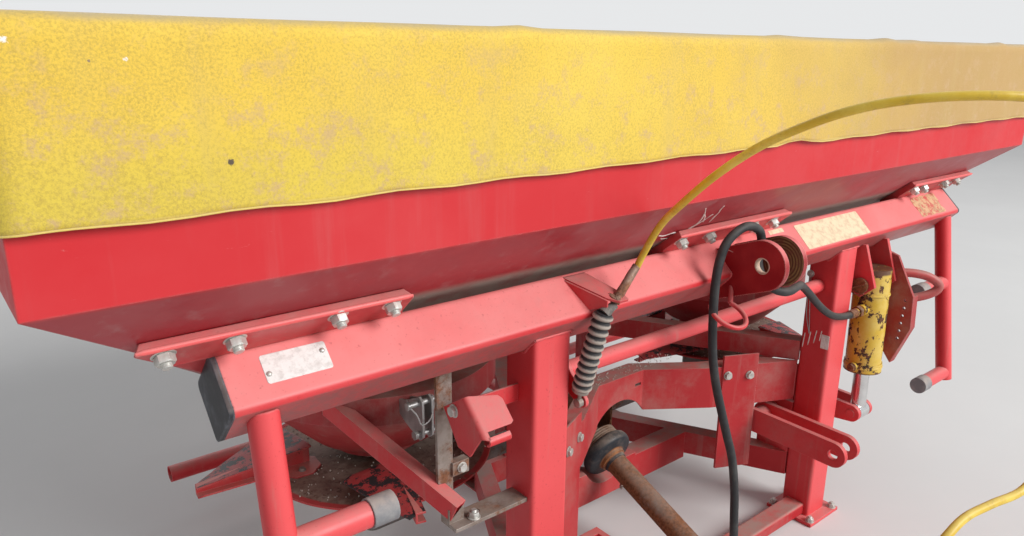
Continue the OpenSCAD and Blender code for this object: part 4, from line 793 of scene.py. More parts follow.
# Each row gives a finish and the CAD nodes that wear it
NODE_FINISHES = [
    ("beam red", ["beam"]),
    ("post red", ["post_left", "post_right", "dosing_shaft", "boarding_steps"]),
    ("ear red", ["top_link_ears"]),
    ("hopper red", ["hopper", "hopper_strips"]),
    ("frame red", ["hose_hook", "cylinder_bracket", "guide_loop", "link_bracket_left", "rock_bearings",
                   "tilt_arm",
                   "cable_tab", "coupling_holder", "brace", "rear_rail"]),
    # The bowls, sector plate and hinge flaps wear the darker red of painted shade
    ("shaded dark red", ["bowl_left", "bowl_right", "sector_plate", "hinge_flaps"]),
    ("dusty red", ["under_frame", "centre_frame", "guard_band"]),
    ("vane red", ["vanes_left", "vanes_right"]),
    ("left disc", ["disc_left"]),
    ("right disc", ["disc_right"]),
    ("lever steel", ["rate_lever", "post_bracket"]),
    ("galvanised steel", ["cover_frame", "hinge_leaves"]),
    ("cast housing", ["gearbox", "disc_gearbox_left", "disc_gearbox_right"]),
    ("rusty steel", ["drive_shaft", "shaft_guard", "shaft_hood"]),
    ("guard bell", ["shaft_bell"]),
    ("cylinder paint", ["cylinder_barrel"]),
    ("chrome rod", ["cylinder_rod"]),
    ("end cap plastic", ["beam_caps"]),
    ("step cap plastic", ["step_caps"]),
    ("cable metal", ["cable_sleeve"]),
    ("hose rubber", ["hose", "hose_coil"]),
    ("cable sheath", ["cable", "cable_coil"]),
    ("zinc nuts", ["hose_coupler", "cable_end"]),
    ("bellows rubber", ["bellows"]),
    ("cover cloth", ["cover"]),
]


def paint_nodes():
    """Gives every CAD node its finish."""
    for finish, names in NODE_FINISHES:
        for name in names:
            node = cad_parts[name]
            node.data.materials.clear()
            node.data.materials.append(FINISHES[finish])


# Cords


def make_hose(radius):
    """The hydraulic hose, a tube along its route, one and a half turns of coil and a straight tail."""
    lead = np.array([[-0.14, -0.865, 0.044], [-0.14, -0.89, 0.044]])
    tail = np.array([[-0.36, -0.89, 0.014], [-0.36, -0.86, 0.014], [-0.36, -0.83, 0.014]])
    path = np.vstack([smooth_path(HOSE_ROUTE, 6), lead,
                      coil_path((-0.25, -0.91), 0.11, 0.044, 0.02, 1.5, -1), tail])
    piece = add_piece("hydraulic_hose", surface(tube_grid(path, radius, 16)), "hose rubber")
    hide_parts("hose", "hose_coil")
    coupler = turned_grid([(0, 0.0116), (0.012, 0.0122), (0.013, 0.0138, 0.012), (0.03, 0.0138, 0.012),
                           (0.031, 0.0118), (0.036, 0.0118), (0.037, 0.0138), (0.041, 0.0138), (0.042, 0.013),
                           (0.046, 0.013), (0.047, 0.0138), (0.058, 0.0138), (0.06, 0.0095), (0.078, 0.009),
                           (0.08, 0.0075)], path[-1] + (0, -0.0005, 0), (0, 1, 0), 30)
    end = add_piece("hose_quick_coupler", surface(coupler), "zinc nuts", sharp=30)
    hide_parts("hose_coupler")
    ferrule = turned_grid([(0, 0.0105), (0.002, 0.0125), (0.018, 0.0125), (0.019, 0.0115), (0.024, 0.0115),
                           (0.025, 0.0125), (0.032, 0.0125), (0.033, 0.0105)], (0.5655, -0.537, 0.655),
                           (1, 0, 0), 24)
    sleeve = add_piece("hose_ferrule", surface(ferrule), "rusty steel")


def make_cable(radius):
    """The control cable, a tube along its route, one and a half turns of coil and a straight tail."""
    lead = np.array([[-0.413, -0.935, 0.031], [-0.413, -0.915, 0.031]])
    tail = np.array([[-0.567, -0.915, 0.01], [-0.567, -0.94, 0.01], [-0.567, -0.96, 0.01]])
    path = np.vstack([smooth_path(CABLE_ROUTE, 6), lead,
                      coil_path((-0.49, -0.9), 0.077, 0.031, 0.014, 1.5, 1), tail])
    piece = add_piece("control_cable", surface(tube_grid(path, radius, 14)), "cable sheath")
    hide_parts("cable", "cable_coil")
    fitting = turned_grid([(0, 0.0075), (0.01, 0.0092), (0.012, 0.0098, 0.0086), (0.026, 0.0098, 0.0086),
                           (0.027, 0.0075), *[(0.029 + 0.002 * k,
                                               0.0068 + 0.0006 * (k % 2)) for k in range(12)],
                           (0.054, 0.0055), (0.062, 0.004), (0.078, 0.004), (0.08, 0.003)],
                          path[-1] + (0, 0.0005, 0), (0, -1, 0), 24)
    end = add_piece("cable_end_fitting", surface(fitting), "zinc nuts", sharp=30)
    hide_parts("cable_end")


# Cover

def cover_ring(s):
    """Distances along half a side of the cover's top, close together near its edge."""
    near = np.array([0, 2.5, 6, 10, 15, 21, 28, 38, 52, 72]) / 1000
    inner = np.linspace(-(s - 0.1), s - 0.1, max(3, int((s - 0.1) / 0.0225) | 1))
    return np.concatenate([-s + near, inner, (s - near)[::-1]])


def make_cover(sag):
    """The cloth over the hopper, one sheet: a top that dips between bows, a rounded rim, a hanging skirt.

    Top: z = rim height - share (3.5 mm + sag sin^2(pi x / bow gap)) - a quarter round at the rim, plus waves,
    where share grows from 0 at the rim to 1 at 250 mm from it. Skirt: each rim point goes down to the hem and
    out by the flare, plus waves that grow with the distance down.
    """
    half_x, half_y, corner, rim = 1.4195, 0.6295, 0.03, 0.02
    x, y = np.meshgrid(cover_ring(half_x), cover_ring(half_y))
    inside = np.minimum(half_x - np.abs(x), half_y - np.abs(y))
    round_off = rim - np.sqrt(np.maximum(rim ** 2 - np.maximum(rim - inside, 0) ** 2, 0))
    over = np.clip(inside / 0.25, 0, 1)
    lumps = sum(0.006 * np.exp(-((x - spot) / 0.022) ** 2) for spot in (-0.741, -0.027, 0.42, 0.525, 1.082))
    front = np.clip((-y - 0.45) / 0.15, 0, 1)
    crown = 1.4005 - 0.0035 * over - sag * over * np.sin(math.pi * x / BOW_GAP) ** 2
    crown = crown + 0.0016 * ripples(x, y, 3, 0.12, 0.5, 14) * over + 0.8 * lumps * front + 0.004 * front
    z = crown - round_off
    past_x, past_y = np.maximum(np.abs(x) - (half_x - corner), 0), np.maximum(np.abs(y) - (half_y - corner),
                                                                              0)
    reach = np.hypot(past_x, past_y)
    pull = np.where(reach > 0, np.maximum(past_x, past_y) / np.maximum(reach, 1e-9), 1)
    px = np.sign(x) * (np.minimum(np.abs(x), half_x - corner) + past_x * pull)
    py = np.sign(y) * (np.minimum(np.abs(y), half_y - corner) + past_y * pull)
    top = np.stack([px, py, z], -1)
    rows, cols = x.shape
    index = np.arange(rows * cols).reshape(rows, cols)
    ring = np.concatenate([index[0, :-1], index[:-1, -1], index[-1, :0:-1], index[:0:-1, 0]])
    edge = top.reshape(-1, 3)[ring]
    ahead = np.roll(edge, -1, axis=0) - np.roll(edge, 1, axis=0)
    out = np.stack([ahead[:, 1], -ahead[:, 0]], 1)
    out /= np.linalg.norm(out, axis=1)[:, None]
    run = np.concatenate([[0], np.cumsum(np.linalg.norm(np.diff(edge[:, :2], axis=0), axis=1))])
    down = np.linspace(0, 1, 26)[1:]
    total = run[-1]
    wave = sum(a * np.cos(2 * math.pi * (k * run / total) + p) for k, a, p in
               ((7, 0.5, 0.4), (12, 0.45, 2.0), (19, 0.35, 4.1), (31, 0.22, 1.2), (46, 0.12, 3.3)))
    lift = 0.008 * np.exp(-((edge[:, 0] - 0.02) / 0.05) ** 2) * (edge[:, 1] < -0.6)
    hem = 1.1838 + 0.0016 * wave + 0.0016 * np.sin(31 * run) + lift
    flare = (0.0035 + 0.0030 * wave)[None, :] * down[:, None] ** 1.5
    flare = flare + 0.0012 * np.sin(math.pi * down)[:, None] * ripples(run[None, :], down[:, None] * 0.2, 8,
                                                                       0.08, 0.4, 12)
    flare = np.clip(flare, -0.0035, 0.009)
    skirt = np.stack([edge[None, :, 0] + flare * out[None, :, 0], edge[None, :, 1] + flare * out[None, :, 1],
                      edge[None, :, 2] * (1 - down[:, None]) + hem[None, :] * down[:, None]], -1)
    count = len(ring)
    below = rows * cols + np.arange(len(down) * count).reshape(len(down), count)
    strip = np.vstack([ring, below])
    turn = np.roll(strip, -1, axis=1)
    faces = [np.stack([index[:-1, :-1], index[:-1, 1:], index[1:, 1:], index[1:, :-1]], -1).reshape(-1, 4),
             np.stack([strip[:-1], strip[1:], turn[1:], turn[:-1]], -1).reshape(-1, 4)]
    faces = np.vstack(faces)
    points = np.vstack([top.reshape(-1, 3), skirt.reshape(-1, 3)])
    piece = add_piece("cover_cloth", (points, faces.reshape(-1), np.full(len(faces), 4)), "cover cloth",
                      "cover_body", 180)
    thick = piece.modifiers.new("cloth thickness", "SOLIDIFY")
    thick.thickness = 0.0016
    thick.offset = -1
    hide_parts("cover")
    bead = add_piece("cover_hem",
                     surface(tube_grid(skirt[-1] + (0, 0, 0.0005), 0.0013, 8, True), caps=False, loop=True),
                     "cover cloth", "cover_body")


# Fixings

def facing(directions):
    """For each direction, three axes as columns, the third along it."""
    z = np.asarray(directions, float)
    z = z / np.linalg.norm(z, axis=1)[:, None]
    helper = np.where(np.abs(z[:, 2:]) > 0.9, [[1.0, 0, 0]], [[0, 0, 1.0]])
    x = np.cross(helper, z)
    x /= np.linalg.norm(x, axis=1)[:, None]
    return np.stack([x, np.cross(z, x), z], 2)


def nut_shape(size, stud=0.5):
    """A washer, a chamfered nut and a stud's end, turned about Z. size is the thread's diameter in metres."""
    flat = 0.78 * size
    rows = [(-0.001, 1.05 * size), (0.0, 1.08 * size), (0.15 * size, 1.08 * size), (0.18 * size, 1.04 * size)]
    low = 0.18 * size
    rows += [(low, 0.80 * flat * 1.155), (low + 0.06 * size, 1.15 * flat, flat),
             (low + 0.72 * size, 1.15 * flat, flat),
             (low + 0.82 * size, 0.98 * flat), (low + 0.82 * size, 0.5 * size)]
    turns = max(1, int(stud * size / 0.0016))
    rows += [(low + 0.82 * size + 0.0016 * k + 0.0008 * j,
              (0.5 - 0.045 * j) * size) for k in range(turns) for j in (0, 1)]
    rows += [(low + 0.82 * size + 0.0016 * turns, 0.42 * size)]
    return surface(turned_grid(rows, (0, 0, 0), (0, 0, 1), 24))


def bolt_shape(size, washer=True):
    """A washer and a chamfered bolt head with a dished top, turned about Z."""
    flat = 0.78 * size
    rows = []
    low = 0.0
    if washer:
        rows += [(-0.001, 1.05 * size), (0.0, 1.08 * size), (0.14 * size, 1.08 * size),
                 (0.17 * size, 1.04 * size)]
        low = 0.17 * size
    rows += [(low, 0.9 * flat), (low + 0.04 * size, 1.15 * flat, flat), (low + 0.5 * size, 1.15 * flat, flat),
             (low + 0.6 * size, 0.97 * flat), (low + 0.6 * size, 0.7 * flat), (low + 0.57 * size, 0.5 * flat)]
    return surface(turned_grid(rows, (0, 0, 0), (0, 0, 1), 24))


def strip_points(spots):
    """Places in metres on the strips' front faces, and the way out of that face."""
    out = np.array([0.0, -0.669, -0.743])
    down = np.array([0.0, 0.743, -0.669])
    spots = np.asarray(spots, float) / 1000
    places = np.stack([spots[:, 0], np.full(len(spots), -0.531), np.full(len(spots), 0.994)], 1)
    return places + spots[:, 1:] * down, np.broadcast_to(out, places.shape)


# Bolts, each row as size, kind, place and the way it points, in millimetres
BOLTS = [
    (14, "nut", (772, -547, 692), (1, 0, 0)), (12, "nut", (-727, -490, 507), (0, 0, 1)),
    (12, "bolt", (-763, -480, 738), (-1, 0, 0)), (10, "bolt", (-724, -447, 594), (0, -1, 0)),
    (10, "bolt", (508.5, -437, 765), (-1, 0, 0)),
    (12, "bolt", (298, -335.7, 470), (-118, -250.5, 0)), (12, "bolt", (362, -365.9, 466), (-118, -250.5, 0)),
    (12, "bolt", (-298, -335.7, 470), (118, -250.5, 0)), (12, "bolt", (-362, -365.9, 466), (118, -250.5, 0)),
]


def rows_of_bolts():
    """The four nuts on each post's foot plate."""
    rows = []
    for side in (-1, 1):
        for dx in (-62, 62):
            for y in (-535, -411):
                rows.append((12, "nut", (side * POST_X + dx, y, 10), (0, 0, 1)))
    return rows


def seat_end(z, x, way):
    """Where a strip ends at a height: the given X, or the hopper's sloped end where that comes first."""
    return way * np.minimum(way * x, 1.410 - 1.2375 * (1.090 - z) - 0.001)


def make_strips():
    """The strips that seat the hopper on the beam: one profile carried along X between slanted ends."""
    profile = np.array([(-531, 994), (-532.5, 992), (-491, 957.2), (-487.2, 950.6), (-478, 949.6),
                        (-434, 906.2),
                        (-434.9, 936.6), (-514.6, 1002.4), (-517, 1003), (-529, 996)]) / 1000
    y, z = profile[:, 0], profile[:, 1]
    middle = profile.mean(0)
    shapes = []
    for low, high in STRIP_ENDS:
        first, last = seat_end(z, low / 1000, -1), seat_end(z, high / 1000, 1)
        first = first + 0.012 * np.clip((z - 0.985) / 0.018, 0, 1) ** 2
        last = last - 0.012 * np.clip((z - 0.985) / 0.018, 0, 1) ** 2
        rows = []
        for share, inset in ((0, 0.08), (0.0035, 0), (0.2, 0), (0.5, 0), (0.8, 0), (0.9965, 0), (1, 0.08)):
            x = first + (last - first) * share
            rows.append(np.stack([x, y + (middle[0] - y) * inset, z + (middle[1] - z) * inset], 1))
        shapes.append(surface(np.array(rows)[:, ::-1]))
    piece = add_piece("seat_strips", joined(shapes), "shaded strip red", sharp=30)
    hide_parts("hopper_strips")


def make_vane_blades():
    """The flat blade behind each vane's top edge, base (1 - share)^0.9 + 34 mm wide from root to tip."""
    for side, name in ((-1, "left"), (1, "right")):
        shapes = []
        for k, angle in enumerate(VANE_ANGLES):
            reach = 0.4235 if k % 2 == 0 else 0.3585
            r = np.linspace(0.172, reach, 14)
            share = (r - 0.172) / (reach - 0.172)
            wide = (0.150 if k % 2 == 0 else 0.120) * (1 - share) ** 0.9 + 0.034
            wide = wide * np.clip(0.35 + share * 6, 0, 1)
            top = 0.4825 + (0.4555 - 0.4825) * share
            w = np.linspace(0, 1, 9)
            across = -0.0105 + w[None, :] * wide[:, None]
            drop = 0.010 * w[None, :] ** 2 * np.ones((14, 1))
            cut = np.maximum(across, 0) ** 2 * 0.9 * (share[:, None] > 0.8)
            length_r = np.sqrt(np.maximum(r[:, None] ** 2 - cut, 0.0))
            upper = np.stack([length_r, across, top[:, None] - drop], -1)
            lower = upper - (0, 0, 0.0035)
            grid = np.concatenate([upper, lower[:, ::-1]], 1)
            a = math.radians(angle)
            along = np.array((math.cos(a), math.sin(a), 0.0))
            out = np.array((math.sin(a), -math.cos(a), 0.0))
            placed = grid[..., :1] * along + grid[..., 1:2] * out + grid[..., 2:] * np.array((0, 0, 1.0))
            placed = placed + (-DISC_X, 0, 0)
            if side > 0:
                placed = placed * (-1, 1, 1)
                placed = placed[:, ::-1]
            shapes.append(surface(placed))
        add_piece("vane_blades_" + name, joined(shapes), "blade red", f"disc_{name}_body", 30)


def make_slide_link():
    """The link on the left bowl's outlet slide: a plate, a clevis pin with a spring clip, and two bolts."""
    outline = np.array([(-276, 652), (-300, 640), (-352, 622), (-364, 632), (-364, 708), (-352, 716),
                        (-300, 690), (-276, 684)]) / 1000
    shapes = []
    for x in (-0.7565, -0.7345):
        near = np.stack([np.full(8, x - 0.0025), outline[:, 0], outline[:, 1]], 1)
        far = near + (0.005, 0, 0)
        shapes.append(surface(np.stack([near, far])[:, ::-1]))
    pin = turned_grid([(0, 0.0075), (0.001, 0.0085), (0.005, 0.0085), (0.006, 0.006), (0.064, 0.006),
                       (0.066, 0.0045)],
                      (-0.786, -0.350, 0.702), (1, 0, 0), 24)
    low = turned_grid([(0, 0.0095, 0.0085), (0.007, 0.0095, 0.0085), (0.008, 0.005), (0.05, 0.005),
                       (0.051, 0.0095, 0.0085),
                       (0.058, 0.0095, 0.0085), (0.059, 0.006)], (-0.772, -0.352, 0.636), (1, 0, 0), 24)
    clip = smooth_path([(-727, -350, 712), (-724, -350, 704), (-726, -356, 694), (-742, -368, 672),
                        (-760, -371, 664),
                        (-766, -369, 668), (-770, -362, 684), (-778, -351, 698), (-781, -348, 708),
                        (-781, -344, 712)], 6)
    shapes += [surface(pin), surface(low), surface(tube_grid(clip, 0.0016, 8))]
    add_piece("slide_link", joined(shapes), "galvanised steel", sharp=30)


def make_strip_nuts():
    """The nuts under the strips that seat the hopper, and the folded lip along each strip's upper edge."""
    places, ways = strip_points(STRIP_NUTS)
    rng = np.random.default_rng(5)
    spin = rng.uniform(0, 1, len(places))
    turns = facing(ways)
    cos, sin = np.cos(spin), np.sin(spin)
    twist = np.stack([np.stack([cos, -sin, 0 * cos], 1), np.stack([sin, cos, 0 * cos], 1),
                      np.stack([0 * cos, 0 * cos, 1 + 0 * cos], 1)], 1)
    add_piece("strip_nuts", copied(nut_shape(0.0155), places, np.einsum("nij,njk->nik", turns, twist)),
              "zinc nuts", sharp=30)
    lips = []
    for low, high in STRIP_ENDS:
        x = np.linspace(low + 4, high - 4, 40) / 1000
        path = np.stack([x, np.full(40, -0.5305), 0.9945 + 0.0006 * np.sin(9 * x)], 1)
        radius = 0.0042 * np.clip(np.minimum(x - x[0], x[-1] - x) / 0.006 + 0.5, 0.5, 1)
        lips.append(surface(tube_grid(path, radius, 10)))
    add_piece("strip_lips", joined(lips), "lit lip red")


def make_bolts():
    """Single bolts and nuts of the frame, each on its face."""
    groups = {}
    for size, kind, place, way in BOLTS + rows_of_bolts():
        groups.setdefault((size, kind), []).append((place, way))
    shapes = []
    for (size, kind), spots in groups.items():
        shape = (nut_shape if kind == "nut" else bolt_shape)(size / 1000)
        shapes.append(copied(shape, np.array([p for p, _ in spots], float) / 1000,
                             facing([w for _, w in spots])))
    add_piece("frame_bolts", joined(shapes), "zinc nuts", sharp=30)


def make_disc_hubs():
    """A domed hub with a nut on each disc, and a bolt through each vane's root plate."""
    for side, name in ((-1, "left"), (1, "right")):
        centre = np.array((side * DISC_X, 0.0, DISC_Z))
        hub = surface(turned_grid([(-0.001, 0.062), (0.0, 0.063), (0.004, 0.062), (0.006, 0.048),
                                   (0.014, 0.040),
                                   (0.018, 0.030), (0.019, 0.018)], centre, (0, 0, 1), 40))
        angles = np.radians(np.array(VANE_ANGLES) + 7)
        angles = angles if side < 0 else math.pi - angles
        ring = centre + np.stack([0.2 * np.cos(angles), 0.2 * np.sin(angles), 0 * angles + 0.004], 1)
        lids = np.stack([np.cos(angles + 0.6), np.sin(angles + 0.6), 0 * angles], 1)
        small = centre + 0.052 * lids + (0, 0, 0.003)
        shapes = [hub, copied(bolt_shape(0.008, False), small), copied(bolt_shape(0.008), ring),
                  copied(nut_shape(0.014, 0.3), centre[None, :] + (0, 0, 0.018))]
        add_piece("disc_hub_" + name, joined(shapes), "lever steel", f"disc_{name}_body", 30)


def make_holder():
    """The holder for a coupling on the left post, a folded sheet worked out in two directions.

    The fold runs forward and down at 45 degrees from its start. Behind it the flank's edges are straight
    lines of its width w. In front of it the flange is cut slanted on top and ends at the slot. A quarter
    round of radius r joins the two. Under the slot the flange's lower end turns back in an arc of 150
    degrees.
    """
    start = np.array((-0.763, -0.511, 0.776))
    down, back, right = np.array((0, -1, -1)) / math.sqrt(2), np.array((0, 1,
                                                                        -1)) / math.sqrt(2), np.array((1.0,
                                                                                                       0, 0))
    thick, r = 0.004, 0.010
    w = np.array([0.0885, 0.083, 0.077, 0.0665, 0.05, 0.03, r])
    low = np.interp(w, [0, 0.077, 0.089], [0, -0.016, 0.059])
    high = np.interp(w, [0, 0.0665, 0.089], [0.078, 0.0905, 0.062])
    turn = np.linspace(0, math.pi / 2, 8)[1:-1]
    x = np.array([r, 0.0138, 0.0142, 0.03, 0.05, 0.068, 0.0745])
    flange_low = np.interp(x, [r, 0.071, 0.0745], [0.0005, 0.0155, 0.024])
    flange_high = np.where(x < 0.014, 0.088, 0.0725) - 0.004 * (x > 0.07)
    outer = np.vstack([back * w[:, None],
                       back * (r - r * np.sin(turn))[:, None] + right * (r - r * np.cos(turn))[:, None],
                       right * x[:, None]])
    small = r - thick
    inner = np.vstack([back * w[:, None] + right * thick,
                       back * (r - small * np.sin(turn))[:, None] + right * (r - small * np.cos(turn))[:,
                                                                                                       None],
                       right * x[:, None] + back * thick])
    lows = np.concatenate([low, np.linspace(low[-1], flange_low[0], 8)[1:-1], flange_low])
    highs = np.concatenate([high, np.linspace(high[-1], 0.088, 8)[1:-1], flange_high])
    share = np.linspace(0, 1, 9)
    slide = (lows[:, None] + (highs - lows)[:, None] * share)[..., None] * down
    sheet = start + np.concatenate([outer[:, None] + slide, (inner[:, None] + slide)[:, ::-1]], 1)
    arc = np.radians(np.linspace(0, 150, 12))
    big = np.stack([0.088 + 0.009 * np.sin(arc), 0.009 - 0.009 * np.cos(arc)], 1)
    little = np.stack([0.088 + 0.005 * np.sin(arc), 0.009 - 0.005 * np.cos(arc)], 1)
    ring = np.vstack([[(0.083, 0.0)], big, little[::-1], [(0.083, 0.004)]])
    section = ring[:, :1] * down + ring[:, 1:] * back
    lip = start + np.stack([section + right * at for at in (0.0105, 0.03, 0.058)])
    strap = np.array([[(x, y, z) for y,
                       z in ((-0.470, 0.708), (-0.465, 0.708), (-0.465, 0.744), (-0.470, 0.744))]
                      for x in (-0.760, -0.6035)])
    piece = add_piece("folded_holder", joined([surface(sheet), surface(lip), surface(strap)]), "frame red",
                      sharp=35)
    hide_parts("coupling_holder")


def make_loop_bar():
    """The looped bar by the sector plate: a tube of radius 13 mm along a U."""
    path = smooth_path([(768, -548, 748), (785, -565, 749), (813, -593, 748), (840, -620, 740),
                        (860, -640, 724),
                        (866, -646, 709), (858, -638, 693), (839, -619, 680), (813, -593, 671),
                        (787, -567, 667),
                        (772, -552, 666)], 6)
    piece = add_piece("loop_bar", surface(tube_grid(path, 0.013, 20)), "loop red")
    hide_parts("guide_loop")


def make_bell():
    """The drive shaft's guard bell: ribs, a round bulge, a neck and a collar, turned about the shaft.

    Bulge: radius = 62 + 16.5 sin(a)^0.7 mm at 89.5 + 18 (1 - cos a) mm along the shaft, for a from 0 to
    155 degrees.
    """
    ribs = [(0.060 + 0.0072 * k + step, radius) for k in range(4)
            for step, radius in ((0, 0.0615), (0.0018, 0.0655), (0.0046, 0.0655), (0.0064, 0.0615))]
    a = np.linspace(0, math.pi * 0.86, 14)
    bulge = [(0.0895 + 0.036 * (1 - math.cos(v)) / 2, 0.062 + 0.0165 * math.sin(v) ** 0.7) for v in a]
    neck = [(0.127, 0.052), (0.129, 0.044), (0.131, 0.0405), (0.140, 0.040), (0.142, 0.036), (0.152, 0.034),
            (0.153, 0.027)]
    inside = [(0.130, 0.027), (0.126, 0.040), (0.118, 0.058), (0.104, 0.068), (0.094, 0.062), (0.088, 0.057),
              (0.0605, 0.057)]
    grid = turned_grid([*ribs, *bulge, *neck, *inside], SHAFT_JOINT, SHAFT_AXIS, 56)
    piece = add_piece("guard_bell", surface(grid, caps=False, loop=True), "guard bell", "shaft_body",
                      50)
    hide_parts("shaft_bell")


def make_sleeve():
    """The worn metal sleeve at the cable's start: a tube that narrows upward, with a lumpy skin."""
    path = smooth_path([(-452, -574, 906), (-449, -574, 911), (-436, -573, 924), (-420, -572, 940),
                        (-405, -570, 954),
                        (-394, -568, 962), (-388, -568, 969)], 9)
    run = np.linspace(0, 1, len(path))
    radius = 0.0098 - 0.0016 * run + 0.0005 * ripples(run, run * 0, 4, 0.03, 0.2, 9)
    collar = turned_grid([(0, 0.012), (0.001, 0.0135), (0.006, 0.0135), (0.008, 0.010)],
                         (-0.452, -0.574, 0.9135),
                         (0.25, -0.25, 0.93), 24)
    piece = add_piece("worn_sleeve", joined([surface(tube_grid(path, radius, 18)), surface(collar)]),
                      "cable metal")
    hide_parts("cable_sleeve")


def make_labels():
    """The blank plate and labels on the beam's upper front face, and the small label on the right post."""
    down = np.array((0.0, -1, -1)) / math.sqrt(2)
    across = np.array((1.0, 0, 0))

    def on_beam(x, t):
        """The point t mm down the beam's upper front face at x, in metres."""
        return np.array((x / 1000, (-483 - t / math.sqrt(2)) / 1000, (954.97 - t / math.sqrt(2)) / 1000))

    plate = plate_shape(rounded_outline(0.102, 0.046, 0.004), 0.0012, on_beam(-1118, 21), across, down)
    spots = np.array([on_beam(-1112, 52), on_beam(-1024, 36)])
    rivets = copied(surface(turned_grid([(0.0, 0.0042), (0.0012, 0.0038), (0.0022, 0.0026), (0.0026, 0.001)],
                                        (0, 0, 0.001),
                                        (0, 0, 1), 16)), spots, facing([(0, -1, 1)] * 2))
    add_piece("maker_plate_blank", plate, "aluminium plate")
    add_piece("plate_rivets", rivets, "zinc nuts")
    wide = plate_shape(rounded_outline(0.315, 0.074, 0.003), 0.0004, on_beam(289, 15), across, down, 0.0002)
    slim = plate_shape(rounded_outline(0.062, 0.012, 0.002), 0.0004, on_beam(176, 13), across, down, 0.0002)
    add_piece("beam_labels_blank", joined([wide, slim]), "cream label")
    angle = np.linspace(0, 2 * math.pi, 72, endpoint=False)
    box = 1 / np.maximum(np.abs(np.cos(angle)) / 0.083, np.abs(np.sin(angle)) / 0.036)
    ragged = 1 - 0.05 * (1 + np.sin(5 * angle + 1)) * (1 + np.sin(11 * angle)) / 2
    outline = np.stack([0.083 + box * ragged * np.cos(angle), 0.037 + box * ragged * np.sin(angle)], 1)
    add_piece("beam_label_torn", plate_shape(outline, 0.0004, on_beam(930, 14), across, down, 0.0002),
              "torn label")
    back = np.array((0.0, -1, 0))
    below = np.array((0.0, 0, -1))
    small = plate_shape(rounded_outline(0.024, 0.042, 0.002), 0.0004, (0.5085, -0.492, 0.596), back, below,
                        0.0002)
    strokes = []
    for (y0, z0), (y1, z1) in SCALE_STROKES:
        a, b = np.array((0.5083, y0 / 1000, z0 / 1000)), np.array((0.5083, y1 / 1000, z1 / 1000))
        path = np.linspace(a, b, 7)
        strokes.append(surface(tube_grid(path, 0.0016 * np.array([0.5, 1, 0.9, 1, 0.8, 1, 0.5]), 8)))
    add_piece("post_label_and_scale", joined([small, *strokes]), "white label")
    wire = np.array([(507, -437, 765), (505.5, -440, 752), (505, -444, 700), (505, -450, 640),
                     (505, -455, 588)])
    second = np.array([(507, -437, 765), (505.5, -436, 752), (505, -437, 700), (505, -441, 640),
                       (505, -455, 588)])
    add_piece("tilt_pointer", joined([surface(tube_grid(smooth_path(w, 6), 0.0011, 8)) for w in (wire,
                                                                                                 second)]),
              "galvanised steel")


def make_scratches():
    """White scratches under the fold and on the left ear, as thin raised lines along their paths."""
    shapes = []
    for line in PANEL_SCRATCHES:
        points = [(x, -620 + 1.21 * (1090 - z) - 0.2, z) for x, z in line]
        path = smooth_path(points, 5)
        width = 0.0008 + 0.0010 * np.abs(np.sin(np.linspace(0, 7, len(path))))
        shapes.append(surface(tube_grid(path, width, 6)))
    ear = smooth_path([(-43, -484, 934), (-43, -497, 931), (-43, -513, 934), (-43, -532, 940),
                       (-43, -548, 938)], 5)
    shapes.append(surface(tube_grid(ear, 0.0008, 6)))
    add_piece("paint_scratches", joined(shapes), "white label")


def make_bellows():
    """The ribbed boot under the tab: radius = 15.5 + 5.2 (0.5 - 0.5 cos(2 pi 11 t))^0.7 mm along its line."""
    top, low = np.array((-478.0, -572, 892)), np.array((-490.0, -530, 722))
    t = np.linspace(0, 1, 11 * 12 + 1)
    bow = np.stack([-5 * np.sin(math.pi * t), -3 * np.sin(math.pi * t), 0 * t], 1)
    path = (top + (low - top) * t[:, None] + bow) / 1000
    lobe = 0.5 - 0.5 * np.cos(2 * math.pi * 11 * t)
    radius = (15.5 + 5.2 * lobe ** 0.7) / 1000
    radius[:3] = radius[-3:] = 0.0155
    body = surface(tube_grid(path, radius, 28))
    neck = surface(tube_grid(np.array([(-452, -574, 903), (-462, -573.5, 899), (-472, -573, 894.5),
                                       (-478, -572, 890)]) / 1000,
                             np.array([0.0085, 0.009, 0.0115, 0.014]), 20))
    shape = joined([body, neck])
    piece = add_piece("bellows_boot", shape, "bellows rubber", sharp=80)
    ridge = np.concatenate([np.repeat(lobe, 28), np.full(len(neck[0]), 0.5)])
    piece.data.attributes.new("ridge", "FLOAT", "POINT").data.foreach_set("value", ridge.astype(np.float32))
    rod = tube_grid(np.array([(-490, -531, 724), (-490.5, -528, 712), (-490, -524, 692)]) / 1000, 0.004, 14)
    clip = turned_grid([(0, 0.0165), (0.001, 0.0175), (0.007, 0.0175), (0.008, 0.0165)],
                       low / 1000 + (0, 0, 0.002),
                       low - top, 28)
    eye = turned_grid([(-0.007, 0.004), (-0.006, 0.0095), (0.006, 0.0095), (0.007, 0.004)],
                      (-0.490, -0.524, 0.690), (1, 0, 0), 20)
    add_piece("bellows_rod", joined([surface(rod), surface(clip), surface(eye)]), "lever steel")
    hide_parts("bellows")


